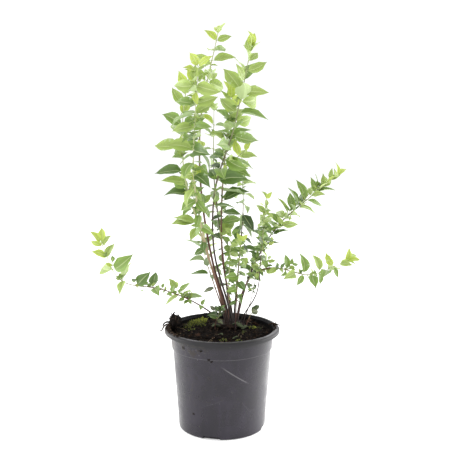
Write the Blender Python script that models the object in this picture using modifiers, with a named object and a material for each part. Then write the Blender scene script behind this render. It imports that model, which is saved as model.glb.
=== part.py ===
"""Young mock orange in a three-litre nursery pot, as separate closed solids.

Metres, +Z up. The pot stands on the origin. Shoots rise from a low root crown in its compost: each
has a bare bough and, 0.3 mm past its tip, one mass of leafy twigs that grows by a seeded rule.
"""
import math
import random

import bmesh
import bpy
import numpy as np
from mathutils import Matrix, Vector, geometry, noise

GAP = 0.0003

# Pot: a lip that slopes outwards and turns down over a stepped band, and a tapering wall
POT_HEIGHT = 0.170
LIP_RADIUS = 0.095
LIP_CREST = 0.0875
LIP_SHOULDER = 0.0025
LIP_DROP = 0.0077
BAND_FOOT = 0.137
BAND_TOP_RADIUS = 0.0858
BAND_FOOT_RADIUS = 0.0832
WALL_TOP_RADIUS = 0.0815
BASE_RADIUS = 0.0722
WALL = 0.0015
FLOOR = 0.0030
CORNER = 0.0030
TURNING_STEPS = 32

# Four drain notches in the bottom corner
NOTCHES = 4
NOTCH_WIDTH = 0.028
NOTCH_HEIGHT = 0.0055
NOTCH_DEPTH = 0.014
FIRST_NOTCH = math.radians(-104)

# Compost: a slight mound, level around the shoots
COMPOST_TOP = 0.166
COMPOST_EDGE = 0.1605
LEVEL_RADIUS = 0.040
COMPOST_RADIUS = BAND_TOP_RADIUS - WALL - 0.0010

# Root crown: the low woody knuckle that the strong shoots share
CROWN_PLACE = (0.012, 0.020)
CROWN_REACH = (0.022, 0.019)
CROWN_HEIGHT = 0.004

# Clod of matted roots that lies on the compost and over the left of the rim
CLOD_PLACE = (-0.0775, 0.013)
CLOD_REACH = (0.0105, 0.013)
CLOD_TOP = 0.186
CLOD_LUMPS = 0.30
CLOD_MIDDLE = 0.45
RIM_STEP = 0.080
CLOD_CLEAR = 0.020

# Limbs and twigs
ROUTE_STEP = 0.004
BEND_POINTS = 24
LIMB_STEP = 0.024
FOOT_RUN = 0.002
TWIG_STEP = 0.020
TIP_SHARE = 0.28
SPACE_MARGIN = 0.0012
RIM_MARGIN = 0.003
GROUND_MARGIN = 0.0025
TWIG_RUNS = 3
TWIG_LEAN = 0.9
TWIG_LIFT = 0.22
TWIG_NODE = 0.014
TWIG_REACHES = (0.028, 0.046)
TWIG_TOP = 0.8
TWIG_RADII = (0.0008, 0.0007, 0.0006, 0.0005)

# Where leaf pairs stand: the first and last, and how they close up towards the tip
FIRST_NODE = 0.5
LAST_NODE = 0.2
LOW_SPACING = 1.08
CLOSING = 0.45

# How leaves stand off the twig, as angles, and how far that varies
LOW_RISE = -0.28
RISE_GAIN = 1.1
TIP_RISE = 0.9
TIP_TUCK = 0.0005
AZIMUTH_SWING = 0.4
RISE_SWING = 0.35
ROLL_SWING = 0.7
LIGHT_HEADING = 0.25

# Leaf sizes against the shoot's longest leaf
LEAF_SIZES = (0.8, 1.08)
LOW_SHARE = 0.66
TIP_SHORTENING = (0.50, 2.0)
TWIG_LEAF = 0.55
TIP_LEAF = 0.58
HANGING_LOSS = 0.45

# What a leaf tries where its space is narrow: a turn round the twig, and a smaller size
LEAF_TRIES = ((0, 1), (0.4, 1), (-0.4, 1), (0, 0.75), (0.6, 0.75), (-0.6, 0.75), (0, 0.55))


class Shoot:
    """One shoot: where it stands and bends, how much of it is bare, and how its leaves sit.

    foot is its place on the crown or compost and knots are the points that it bends through, to its
    tip. bare is the share of its length that is a bare bough, stout the radius at the foot, node
    the distance between leaf pairs, leaf the length of the longest leaf, turn the azimuth of the
    lowest pair in degrees, lift how far the leaves turn up, twiggy the chance of a side twig at a
    leaf, facing the way the leaves turn their upper faces, slender their width against a plain
    leaf's, low the size of the lowest against the longest, and forks the side shoots, as share
    along the mass, azimuth, length and leaf length. All of its chances come from its seed.
    """

    def __init__(self, name, foot, knots, bare, stout, node, leaf, seed, turn=0, lift=0.0, twiggy=0.0,
                 facing=(0, 0, 1), slender=1.0, low=LOW_SHARE, forks=()):
        self.name = name
        on_crown = math.hypot((foot[0] - CROWN_PLACE[0]) / CROWN_REACH[0],
                              (foot[1] - CROWN_PLACE[1]) / CROWN_REACH[1]) < 1
        ground = COMPOST_TOP + (CROWN_HEIGHT + GAP if on_crown else 0)
        self.knots = [Vector((foot[0], foot[1], ground + GAP))] + [Vector(knot) for knot in knots]
        self.node = node
        self.leaf = leaf
        self.seed = seed
        self.turn = math.radians(turn)
        self.lift = Vector((0, 0, lift))
        self.twiggy = twiggy
        self.facing = Vector(facing)
        self.slender = slender
        self.low = low
        self.forks = forks
        self.route = smooth_route(self.knots)
        self.radii = [stout * (1 - (1 - TIP_SHARE) * share(i, self.route)) for i in range(len(self.route))]
        self.split = round(bare * (len(self.route) - 1))


def share(index, points):
    return index / (len(points) - 1)


def spaced(points, step):
    """The same line with its points at an even spacing close to step."""
    reaches = [0.0]
    for start, end in zip(points, points[1:]):
        reaches.append(reaches[-1] + (end - start).length)
    count = max(2, round(reaches[-1] / step))
    line = []
    piece = 0
    for index in range(count + 1):
        reach = reaches[-1] * index / count
        while piece < len(points) - 2 and reaches[piece + 1] < reach:
            piece += 1
        part = (reach - reaches[piece]) / (reaches[piece + 1] - reaches[piece])
        line.append(points[piece].lerp(points[piece + 1], part))
    return line


def smooth_route(knots):
    """One smooth curve through the knots, steep at its foot."""
    runs = [end - start for start, end in zip(knots, knots[1:])]
    slopes = [Vector((runs[0].x / 2, runs[0].y / 2, runs[0].z)).normalized()]
    slopes += [(one.normalized() + two.normalized()).normalized() for one, two in zip(runs, runs[1:])]
    slopes.append(runs[-1].normalized())
    curve = [knots[0]]
    for start, end, leaving, arriving in zip(knots, knots[1:], slopes, slopes[1:]):
        pull = (end - start).length / 3
        handles = (start + leaving * pull, end - arriving * pull)
        curve += geometry.interpolate_bezier(start, *handles, end, BEND_POINTS)[1:]
    return spaced(curve, ROUTE_STEP)


def frame_at(heading):
    """Two directions square to a stem: across the plant's front, and towards its back."""
    across = Vector((0, 1, 0)).cross(heading).normalized()
    return across, heading.cross(across)


# The tall shoots, from left to right, then those hidden behind them
SHOOTS = [
    Shoot("tall_far_left", foot=(0.006, 0.022), bare=0.30, stout=0.0017, node=0.023, leaf=0.052, seed=437,
          knots=((-0.034, 0.020, 0.320), (-0.061, 0.014, 0.420), (-0.063, 0.010, 0.510),
                 (-0.057, 0.008, 0.561)),
          turn=185, lift=0.4, facing=(-0.3, -0.6, 0.6),
          forks=((0.40, 320, 0.020, 0.047), (0.16, 260, 0.028, 0.052))),
    Shoot("tall_left", foot=(0.010, 0.009), bare=0.32, stout=0.0018, node=0.023, leaf=0.050, seed=253,
          knots=((-0.022, -0.006, 0.290), (-0.044, -0.030, 0.417), (-0.041, -0.046, 0.523),
                 (-0.036, -0.056, 0.593)),
          turn=55, facing=(-0.2, -0.7, 0.6),
          forks=((0.86, 260, 0.028, 0.045),)),
    Shoot("tallest", foot=(0.012, 0.029), bare=0.28, stout=0.0021, node=0.024, leaf=0.052, seed=38,
          knots=((-0.016, 0.033, 0.273), (-0.035, 0.046, 0.392), (-0.035, 0.058, 0.511),
                 (-0.007, 0.066, 0.648)),
          turn=20, lift=-0.2, facing=(0, -0.5, 0.8),
          forks=((0.18, 200, 0.028, 0.047),)),
    Shoot("tall_middle", foot=(0.018, 0.026), bare=0.20, stout=0.0019, node=0.020, leaf=0.050, seed=1678,
          knots=((0.001, 0.029, 0.280), (0.000, 0.034, 0.385), (0.017, 0.038, 0.549)),
          turn=15, lift=0.4, twiggy=0.12, facing=(0.1, -0.5, 0.8),
          forks=((0.38, 80, 0.080, 0.045), (0.26, 320, 0.080, 0.045), (0.21, 260, 0.028, 0.045))),
    Shoot("tall_right", foot=(0.017, 0.009), bare=0.32, stout=0.0018, node=0.022, leaf=0.050, seed=82,
          knots=((-0.013, -0.002, 0.299), (-0.011, -0.014, 0.399), (0.018, -0.028, 0.496),
                 (0.045, -0.040, 0.622)),
          turn=-15, lift=0.4, facing=(0.2, -0.7, 0.6),
          forks=((0.40, 0, 0.045, 0.031),)),
    Shoot("tall_back_left", foot=(0.013, 0.036), bare=0.28, stout=0.0017, node=0.028, leaf=0.046, seed=2082,
          knots=((0.000, 0.062, 0.290), (-0.014, 0.090, 0.410), (-0.014, 0.104, 0.520)),
          turn=95, lift=-0.2, twiggy=0.06, facing=(-0.2, -0.2, 0.9)),
    Shoot("tall_back_right", foot=(0.020, 0.033), bare=0.26, stout=0.0015, node=0.021, leaf=0.044, seed=1916,
          knots=((0.030, 0.064, 0.280), (0.036, 0.088, 0.350), (0.034, 0.098, 0.440)),
          turn=30, lift=-0.2, twiggy=0.06, facing=(0.2, -0.2, 0.9)),
    # The low arching shoots
    Shoot("right_arching", foot=(0.023, 0.020), bare=0.24, stout=0.0015, node=0.012, leaf=0.036, seed=430,
          knots=((0.047, 0.028, 0.252), (0.090, 0.032, 0.330), (0.149, 0.034, 0.384), (0.190, 0.034, 0.418)),
          turn=105, lift=0.8, twiggy=0.2, facing=(0.2, -0.6, 0.7), slender=0.8, low=0.50),
    Shoot("low_right", foot=(0.024, 0.012), bare=0.36, stout=0.0013, node=0.016, leaf=0.040, seed=3144,
          knots=((0.045, 0.008, 0.248), (0.079, 0.004, 0.268), (0.144, -0.006, 0.259),
                 (0.205, -0.014, 0.285)),
          turn=90, facing=(0, -0.8, 0.6), low=0.35, forks=((0.10, 100, 0.018, 0.036),)),
    Shoot("low_left", foot=(-0.002, 0.017), bare=0.22, stout=0.0013, node=0.030, leaf=0.044, seed=1552,
          knots=((-0.041, 0.012, 0.205), (-0.098, 0.002, 0.232), (-0.166, -0.006, 0.250),
                 (-0.196, -0.010, 0.314)),
          turn=240, lift=0.4, facing=(0, -0.8, 0.6), slender=1.1, low=0.30,
          forks=((0.07, 100, 0.030, 0.040),)),
    Shoot("low_back_right", foot=(0.026, 0.027), bare=0.30, stout=0.0013, node=0.022, leaf=0.036, seed=1521,
          knots=((0.045, 0.075, 0.235), (0.066, 0.126, 0.285), (0.078, 0.165, 0.330)),
          turn=75, lift=0.4, twiggy=0.08, facing=(0.2, -0.1, 0.9)),
    Shoot("low_back_left", foot=(0.005, 0.033), bare=0.30, stout=0.0013, node=0.016, leaf=0.038, seed=1737,
          knots=((-0.015, 0.080, 0.225), (-0.030, 0.125, 0.260), (-0.038, 0.160, 0.300)),
          turn=180, lift=0.6, twiggy=0.08, facing=(-0.2, -0.1, 0.9)),
    # The short shoots between them
    Shoot("right_upright", foot=(0.030, 0.013), bare=0.42, stout=0.0011, node=0.018, leaf=0.026, seed=3450,
          knots=((0.057, -0.004, 0.228), (0.063, -0.020, 0.294), (0.070, -0.032, 0.388)),
          turn=150, lift=0.2, twiggy=0.15, facing=(0.4, -0.6, 0.6), low=0.50),
    Shoot("right_sucker", foot=(0.034, 0.006), bare=0.50, stout=0.0008, node=0.012, leaf=0.014, seed=1355,
          knots=((0.048, -0.006, 0.218), (0.058, -0.024, 0.284)), lift=0.2, facing=(0, -0.7, 0.6)),
    Shoot("middle_sucker", foot=(0.011, 0.017), bare=0.26, stout=0.0010, node=0.011, leaf=0.028, seed=999,
          knots=((0.011, 0.012, 0.237), (0.015, 0.004, 0.325)), lift=-0.2, facing=(0, -0.7, 0.6)),
    Shoot("front_sucker", foot=(0.022, -0.005), bare=0.30, stout=0.0010, node=0.011, leaf=0.028, seed=469,
          knots=((0.025, -0.014, 0.240), (0.031, -0.024, 0.318)), turn=45, lift=0.2,
          facing=(0.2, -0.7, 0.6)),
    Shoot("foot_sucker_left", foot=(-0.012, -0.001), bare=0.35, stout=0.0008, node=0.008, leaf=0.022, seed=918,
          knots=((-0.009, -0.008, 0.184), (-0.003, -0.014, 0.201)), turn=150, lift=0.4,
          facing=(0, -0.7, 0.6), slender=1.1),
    Shoot("foot_sucker_right", foot=(0.040, 0.010), bare=0.35, stout=0.0008, node=0.009, leaf=0.020, seed=319,
          knots=((0.045, 0.008, 0.182), (0.053, 0.006, 0.198)), turn=285, lift=0.4,
          facing=(0, -0.7, 0.6), slender=1.6),
]


class Spaces:
    """Tells whose space a point lies in: the shoot whose surface is clearly the nearest."""

    def __init__(self, shoots):
        self.points = np.array([point for shoot in shoots for point in shoot.route])
        self.radii = np.array([radius for shoot in shoots for radius in shoot.radii])
        self.owners = np.array([i for i, shoot in enumerate(shoots) for _ in shoot.route])
        self.limbs = np.array([step <= shoot.split for shoot in shoots for step in range(len(shoot.route))])

    def holds(self, owner, point):
        if not clear_of_pot(point):
            return False
        gaps = np.linalg.norm(self.points - np.array(point), axis=1) - self.radii
        if gaps[self.limbs].min() < SPACE_MARGIN:
            return False
        mine = self.owners == owner
        return gaps[mine].min() < gaps[~mine].min() - SPACE_MARGIN


def clear_of_pot(point):
    """Whether a point is above the compost, the rim and the root clod, or well outside the pot."""
    reach = math.hypot(point.x, point.y)
    if reach > LIP_RADIUS + RIM_MARGIN:
        return True
    clod_gap = (point.xy - Vector(CLOD_PLACE)).length
    if clod_gap < CLOD_CLEAR and point.z < CLOD_TOP + RIM_MARGIN:
        return False
    ground = POT_HEIGHT if reach > COMPOST_RADIUS - RIM_MARGIN else COMPOST_TOP + CROWN_HEIGHT
    return point.z > ground + GROUND_MARGIN


class Growth:
    """The leaves and twigs of one mass, kept to its own space."""

    def __init__(self, shoot, owner, spaces):
        self.shoot = shoot
        self.owner = owner
        self.spaces = spaces
        self.dice = random.Random(shoot.seed)
        foot, *beyond = shoot.route[shoot.split:]
        self.stem = spaced([foot + (beyond[0] - foot).normalized() * GAP] + beyond, TWIG_STEP)
        self.stem_radii = [shoot.radii[shoot.split], shoot.radii[-1]]
        self.twigs = []
        self.leaves = []
        self.clothe(self.stem, shoot.node, shoot.leaf, shoot.turn, shoot.low, shoot.twiggy)
        for along, azimuth, length, leaf in shoot.forks:
            spot, heading = place_on(self.stem, along)
            self.branch(spot, heading, math.radians(azimuth), length, leaf)

    def swing(self, reach):
        return self.dice.uniform(-reach, reach)

    def clothe(self, line, node, leaf, turn, low, twiggy):
        """Leaf pairs along a twig, each pair square to the one below, and side twigs by chance."""
        length = sum((end - start).length for start, end in zip(line, line[1:]))
        travel = node * FIRST_NODE
        pair = 0
        while travel < length - node * LAST_NODE:
            along = travel / length
            spot, heading = place_on(line, along)
            shortest, gain = TIP_SHORTENING
            size = leaf * min(low + along, 1, shortest + gain * (1 - along))
            for side in (0, math.pi):
                azimuth = turn + pair * math.pi / 2 + side + self.swing(AZIMUTH_SWING)
                rise = LOW_RISE + RISE_GAIN * along ** 3 + self.swing(RISE_SWING)
                roll = self.swing(ROLL_SWING)
                scale = self.dice.uniform(*LEAF_SIZES)
                sprout = self.dice.random()
                reach = self.dice.uniform(*TWIG_REACHES)
                self.leaf(spot, heading, azimuth, rise, roll, size * scale)
                if sprout < twiggy * (TWIG_TOP - along):
                    self.branch(spot, heading, azimuth, reach, leaf * TWIG_LEAF)
            travel += node * (LOW_SPACING - CLOSING * along)
            pair += 1
        spot, heading = place_on(line, 1 - TIP_TUCK / length)
        for side in (0, math.pi):
            self.leaf(spot, heading, turn + pair * math.pi / 2 + side, TIP_RISE, 0, leaf * TIP_LEAF)

    def branch(self, spot, heading, azimuth, length, leaf):
        """A side twig that leaves the stem at half a right angle and turns upwards."""
        across, deep = frame_at(heading)
        out = (across * math.cos(azimuth) + deep * math.sin(azimuth) + heading * TWIG_LEAN).normalized()
        line = [spot]
        for _ in range(TWIG_RUNS):
            line.append(line[-1] + out * (length / TWIG_RUNS))
            out = (out + Vector((0, 0, TWIG_LIFT))).normalized()
        if all(self.spaces.holds(self.owner, point) for point in line[1:]):
            self.twigs.append(line)
            self.clothe(line, TWIG_NODE, leaf, azimuth, LOW_SHARE, 0.0)

    def leaf(self, spot, heading, azimuth, rise, roll, length):
        """One leaf, turned round its twig or made shorter where its space is narrow."""
        across, deep = frame_at(heading)
        for turn, scale in LEAF_TRIES:
            out = across * math.cos(azimuth + turn) + deep * math.sin(azimuth + turn)
            along_leaf = (out * math.cos(rise) + heading * math.sin(rise) + self.shoot.lift).normalized()
            hanging = 1 - HANGING_LOSS * max(0.0, -along_leaf.z)
            place = leaf_place(spot, along_leaf, heading, self.shoot, roll, length * scale * hanging)
            if all(self.spaces.holds(self.owner, place @ Vector(mark)) for mark in LEAF_MARKS):
                self.leaves.append(place)
                return


def place_on(line, along):
    """The point at a share of a line's length, and the line's direction there."""
    runs = [end - start for start, end in zip(line, line[1:])]
    left = along * sum(run.length for run in runs)
    for start, run in zip(line, runs):
        if left <= run.length:
            break
        left -= run.length
    return start + run.normalized() * min(left, run.length), run.normalized()


# A leaf of length 1 along X: its outline's shoulders as place and half width, and its bend
LEAF_SHOULDERS = ((0.64, 0.215), (0.27, 0.260))
LEAF_MIDDLE = 0.45
LEAF_THICKNESS = 0.026
LEAF_FOLD = 0.18
LEAF_DROOP = 0.20
LEAF_SINK = 0.0002


def leaf_surface(along, side):
    """Height of the leaf's face: folded up from its midrib, with a drooping tip."""
    return LEAF_FOLD * abs(side) - LEAF_DROOP * along * along


LEAF_MARKS = [(along, side * half, leaf_surface(along, half))
              for along, half in LEAF_SHOULDERS for side in (-1, 1)]
LEAF_MARKS += [(along, 0, leaf_surface(along, 0)) for along in (LEAF_MIDDLE, 0.8, 1)]


def leaf_place(spot, along_leaf, heading, shoot, roll, length):
    """The matrix that sets a leaf of length 1 at its spot, its upper face turned to the light."""
    light = heading * LIGHT_HEADING + shoot.facing
    upper = (light - along_leaf * light.dot(along_leaf)).normalized()
    upper = Matrix.Rotation(roll, 3, along_leaf) @ upper
    side = upper.cross(along_leaf)
    turned = Matrix((along_leaf, side, upper)).transposed().to_4x4()
    size = Matrix.Diagonal((length, length * shoot.slender, length, 1))
    return Matrix.Translation(spot - along_leaf * LEAF_SINK) @ turned @ size


def clear_file():
    for thing in list(bpy.data.objects):
        bpy.data.objects.remove(thing)


def new_collection(name):
    collection = bpy.data.collections.new(name)
    bpy.context.scene.collection.children.link(collection)
    return collection


def material(name, colour, roughness):
    made = bpy.data.materials.new(name)
    made.use_nodes = True
    shader = made.node_tree.nodes["Principled BSDF"]
    shader.inputs["Base Color"].default_value = (*colour, 1)
    shader.inputs["Roughness"].default_value = roughness
    shader.inputs["Metallic"].default_value = 0
    return made


def mesh_object(name, shape, collection, finish=None):
    """A new object from a bmesh, which is freed."""
    mesh = bpy.data.meshes.new(name)
    shape.to_mesh(mesh)
    shape.free()
    made = bpy.data.objects.new(name, mesh)
    collection.objects.link(made)
    if finish:
        mesh.materials.append(finish)
    return made


def tube(name, line, radii, collection, section=None):
    """A closed tube along a line of points, round, or three-sided with a section."""
    curve = bpy.data.curves.new(name, "CURVE")
    curve.dimensions = "3D"
    curve.use_fill_caps = True
    if section:
        curve.bevel_mode = "OBJECT"
        curve.bevel_object = section
    else:
        curve.bevel_depth = 1
        curve.bevel_resolution = 1
    spline = curve.splines.new("POLY")
    spline.points.add(len(line) - 1)
    for point, place, radius in zip(spline.points, line, radii):
        point.co = (*place, 1)
        point.radius = radius
    made = bpy.data.objects.new(name, curve)
    collection.objects.link(made)
    return made


def as_mesh(thing):
    """Replaces a curve object by its mesh, with the caps welded on."""
    bpy.context.view_layer.update()
    evaluated = thing.evaluated_get(bpy.context.evaluated_depsgraph_get())
    shape = bmesh.new()
    mesh = bpy.data.meshes.new_from_object(evaluated)
    shape.from_mesh(mesh)
    bpy.data.meshes.remove(mesh)
    bmesh.ops.remove_doubles(shape, verts=shape.verts, dist=0.000001)
    bmesh.ops.recalc_face_normals(shape, faces=shape.faces)
    made = mesh_object(thing.name + "_mesh", shape, thing.users_collection[0])
    made.matrix_world = thing.matrix_world
    bpy.data.objects.remove(thing)
    return made


def turned(name, profile, collection, finish):
    """A solid turned about Z from a profile that runs down its outer side."""
    shape = bmesh.new()
    points = [shape.verts.new((radius, 0, height)) for radius, height in profile]
    for start, end in zip(points, points[1:]):
        shape.edges.new((start, end))
    made = mesh_object(name, shape, collection, finish)
    screw = made.modifiers.new("turn", "SCREW")
    screw.steps = TURNING_STEPS
    screw.render_steps = TURNING_STEPS
    screw.use_merge_vertices = True
    screw.merge_threshold = 0.00001
    return made


def make_pot(parts, cutters):
    finish = material("dark_grey_plastic", (0.030, 0.028, 0.032), 0.42)
    bend = BAND_FOOT - 0.0003
    outer = [
        (LIP_CREST, POT_HEIGHT),
        (LIP_RADIUS, POT_HEIGHT - LIP_SHOULDER),
        (LIP_RADIUS, POT_HEIGHT - LIP_DROP),
        (LIP_RADIUS - WALL, POT_HEIGHT - LIP_DROP),
        (LIP_RADIUS - WALL, POT_HEIGHT - LIP_SHOULDER - WALL),
        (BAND_TOP_RADIUS, POT_HEIGHT - WALL - 0.0008),
        (BAND_FOOT_RADIUS, BAND_FOOT),
        (WALL_TOP_RADIUS, bend),
        (BASE_RADIUS, 0.006),
        (BASE_RADIUS - 0.0008, CORNER * 0.5),
        (BASE_RADIUS - CORNER, 0),
        (0, 0),
    ]
    inner = [
        (0, FLOOR),
        (BASE_RADIUS - WALL - CORNER, FLOOR),
        (BASE_RADIUS - WALL, FLOOR + CORNER),
        (WALL_TOP_RADIUS - WALL, bend + WALL),
        (BAND_FOOT_RADIUS - WALL, BAND_FOOT + WALL),
        (BAND_TOP_RADIUS - WALL, POT_HEIGHT - 0.0015),
        (BAND_TOP_RADIUS, POT_HEIGHT),
    ]
    pot = turned("pot", inner + outer, parts, finish)
    for index in range(NOTCHES):
        angle = FIRST_NOTCH + index * math.tau / NOTCHES
        shape = bmesh.new()
        bmesh.ops.create_cube(shape, size=1)
        bmesh.ops.scale(shape, vec=(NOTCH_DEPTH, NOTCH_WIDTH, NOTCH_HEIGHT * 2), verts=shape.verts)
        cutter = mesh_object(f"notch_{index + 1}", shape, cutters)
        cutter.location = (BASE_RADIUS * math.cos(angle), BASE_RADIUS * math.sin(angle), 0)
        cutter.rotation_euler.z = angle
        cutter.hide_render = True
        cutter.display_type = "WIRE"
        cut = pot.modifiers.new(cutter.name, "BOOLEAN")
        cut.operation = "DIFFERENCE"
        cut.solver = "EXACT"
        cut.object = cutter


def make_compost(parts):
    finish = material("dark_compost", (0.022, 0.014, 0.010), 0.95)
    clear = WALL + GAP
    profile = [
        (0, COMPOST_TOP),
        (LEVEL_RADIUS, COMPOST_TOP),
        (COMPOST_RADIUS, COMPOST_EDGE),
        (BAND_FOOT_RADIUS - clear, BAND_FOOT + WALL + GAP * 2),
        (WALL_TOP_RADIUS - clear, BAND_FOOT + WALL + GAP),
        (BASE_RADIUS - clear, FLOOR + CORNER),
        (BASE_RADIUS - clear - CORNER, FLOOR + GAP),
        (0, FLOOR + GAP),
    ]
    turned("compost", profile, parts, finish)


def make_root_crown(parts):
    finish = material("crown_bark", (0.085, 0.050, 0.032), 0.9)
    shape = bmesh.new()
    bmesh.ops.create_cone(shape, cap_ends=True, segments=14, radius1=1.10, radius2=1.0, depth=CROWN_HEIGHT)
    bmesh.ops.scale(shape, vec=(*CROWN_REACH, 1), verts=shape.verts)
    bmesh.ops.translate(shape, vec=(*CROWN_PLACE, COMPOST_TOP + GAP + CROWN_HEIGHT / 2), verts=shape.verts)
    mesh_object("root_crown", shape, parts, finish)


def compost_height(reach):
    """Height of the compost's surface at a distance from the pot's axis."""
    slope = (COMPOST_TOP - COMPOST_EDGE) / (COMPOST_RADIUS - LEVEL_RADIUS)
    return COMPOST_TOP - slope * max(0.0, reach - LEVEL_RADIUS)


def make_root_clod(parts):
    finish = material("matted_roots", (0.040, 0.026, 0.018), 0.95)
    shape = bmesh.new()
    bmesh.ops.create_icosphere(shape, subdivisions=3, radius=1)
    rest = compost_height(math.hypot(*CLOD_PLACE))
    for vert in shape.verts:
        lump = 1 + CLOD_LUMPS * noise.noise(vert.co * 1.7)
        x = CLOD_PLACE[0] + CLOD_REACH[0] * vert.co.x * lump
        y = CLOD_PLACE[1] + CLOD_REACH[1] * vert.co.y * lump
        z = rest + (CLOD_TOP - rest) * (CLOD_MIDDLE + (1 - CLOD_MIDDLE) * vert.co.z * lump)
        reach = math.hypot(x, y)
        ground = POT_HEIGHT if reach > RIM_STEP else compost_height(reach)
        vert.co = (x, y, max(z, ground + GAP))
    mesh_object("root_clod", shape, parts, finish)


def make_bough(shoot, parts, finish):
    line = spaced(shoot.route[:shoot.split + 1], LIMB_STEP)
    line.insert(1, line[0] + Vector((0, 0, FOOT_RUN)))
    foot = shoot.radii[0]
    tip = shoot.radii[shoot.split]
    radii = [foot + (tip - foot) * share(i, line) for i in range(len(line))]
    bough = tube("bough_" + shoot.name, line, radii, parts)
    bough.data.materials.append(finish)


def leaf_mesh():
    """A leaf of length 1: a flattened six-sided ball drawn out to the leaf's outline."""
    shape = bmesh.new()
    bmesh.ops.create_uvsphere(shape, u_segments=6, v_segments=2, radius=1)
    outline = [(1.0, 0.0), *LEAF_SHOULDERS, (0.0, 0.0)]
    for vert in shape.verts:
        if abs(vert.co.z) > 0.5:
            along = LEAF_MIDDLE
            half = 0.0
            lift = math.copysign(LEAF_THICKNESS / 2, vert.co.z)
        else:
            corner = round(math.degrees(math.acos(max(-1, min(1, vert.co.x)))) / 60)
            along, half = outline[corner]
            half = math.copysign(half, vert.co.y)
            lift = 0.0
        vert.co = (along, half, leaf_surface(along, half) + lift)
    mesh = bpy.data.meshes.new("leaf")
    shape.to_mesh(mesh)
    shape.free()
    return mesh


def make_mass(growth, leaf, section, parts, finish):
    """One mass: its stem, joined with its side twigs and leaves in one Boolean union."""
    pieces = new_collection("mass_pieces")
    foot, tip = growth.stem_radii
    radii = [foot + (tip - foot) * share(i, growth.stem) for i in range(len(growth.stem))]
    stem = as_mesh(tube("stem", growth.stem, radii, parts, section))
    for twig in growth.twigs:
        as_mesh(tube("twig", twig, TWIG_RADII, pieces, section))
    for place in growth.leaves:
        piece = bpy.data.objects.new("leaf", leaf)
        piece.matrix_world = place
        pieces.objects.link(piece)
    union = stem.modifiers.new("join", "BOOLEAN")
    union.operation = "UNION"
    union.solver = "EXACT"
    union.operand_type = "COLLECTION"
    union.collection = pieces
    bpy.context.view_layer.update()
    evaluated = stem.evaluated_get(bpy.context.evaluated_depsgraph_get())
    joined = bpy.data.meshes.new_from_object(evaluated)
    joined.name = "foliage_" + growth.shoot.name
    joined.materials.clear()
    joined.materials.append(finish)
    mass = bpy.data.objects.new("foliage_" + growth.shoot.name, joined)
    parts.objects.link(mass)
    for piece in list(pieces.objects):
        bpy.data.objects.remove(piece)
    bpy.data.objects.remove(stem)
    bpy.data.collections.remove(pieces)


def as_section(triangle, cutters):
    """A closed three-sided curve, the section of every twig."""
    corners = [vert.co.copy() for vert in triangle.verts]
    triangle.free()
    curve = bpy.data.curves.new("twig_section", "CURVE")
    curve.dimensions = "2D"
    spline = curve.splines.new("POLY")
    spline.points.add(len(corners) - 1)
    for point, corner in zip(spline.points, corners):
        point.co = (*corner, 1)
    spline.use_cyclic_u = True
    made = bpy.data.objects.new("twig_section", curve)
    made.hide_render = True
    made.display_type = "WIRE"
    cutters.objects.link(made)
    return made


def main():
    clear_file()
    parts = new_collection("potted_mock_orange")
    cutters = new_collection("cutters")
    make_pot(parts, cutters)
    make_compost(parts)
    make_root_crown(parts)
    make_root_clod(parts)
    bark = material("young_bark", (0.105, 0.062, 0.038), 0.8)
    leaf_green = material("leaf_green", (0.190, 0.360, 0.075), 0.5)
    triangle = bmesh.new()
    bmesh.ops.create_circle(triangle, segments=3, radius=1)
    section = as_section(triangle, cutters)
    leaf = leaf_mesh()
    spaces = Spaces(SHOOTS)
    for owner, shoot in enumerate(SHOOTS):
        make_bough(shoot, parts, bark)
        make_mass(Growth(shoot, owner, spaces), leaf, section, parts, leaf_green)


main()
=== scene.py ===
import math
import random
from collections import namedtuple

import bmesh
import bpy
import numpy as np
from mathutils import Matrix, Vector, geometry, noise


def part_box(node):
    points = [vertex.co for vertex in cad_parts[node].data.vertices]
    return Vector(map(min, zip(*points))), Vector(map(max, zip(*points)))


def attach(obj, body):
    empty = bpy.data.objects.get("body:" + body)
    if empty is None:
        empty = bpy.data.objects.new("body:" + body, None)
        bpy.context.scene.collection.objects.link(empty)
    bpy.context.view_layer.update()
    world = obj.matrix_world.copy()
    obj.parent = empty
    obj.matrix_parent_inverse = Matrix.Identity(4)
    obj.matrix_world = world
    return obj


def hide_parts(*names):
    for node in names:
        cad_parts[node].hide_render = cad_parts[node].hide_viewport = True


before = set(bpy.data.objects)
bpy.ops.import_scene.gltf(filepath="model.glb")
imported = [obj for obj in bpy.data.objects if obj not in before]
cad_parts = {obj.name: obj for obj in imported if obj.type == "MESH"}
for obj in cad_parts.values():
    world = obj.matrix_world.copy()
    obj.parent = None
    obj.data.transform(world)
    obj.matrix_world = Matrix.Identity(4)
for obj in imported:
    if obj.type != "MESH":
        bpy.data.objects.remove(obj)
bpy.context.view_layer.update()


# The pot
# A three-litre nursery pot, moulded in one piece of dark recycled plastic, with a lip turned down
# over a stepped band. Handling has left it dusty, with mud under the lip and one long scratch. Its
# colour also holds painted shade under the lip and on the inner wall, and painted highlights along
# the lip's crest and the band's step.
POT_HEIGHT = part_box("pot")[1].z
LIP_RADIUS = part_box("pot")[1].x
LIP_CREST = 0.0875
LIP_SHOULDER = 0.0025
LIP_DROP = 0.0077
LIP_ROUND = 0.0009
BAND_FOOT = 0.137
BAND_TOP_RADIUS = 0.0858
BAND_FOOT_RADIUS = 0.0832
WALL_TOP_RADIUS = 0.0815
BASE_RADIUS = 0.0722
WALL = 0.0015
FLOOR = 0.0030
CORNER = 0.0030
TURNING_STEPS = 144
NOTCHES = 4
NOTCH_WIDTH = 0.028
NOTCH_HEIGHT = 0.0055
NOTCH_DEPTH = 0.014
FIRST_NOTCH = math.radians(-104)
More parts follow.
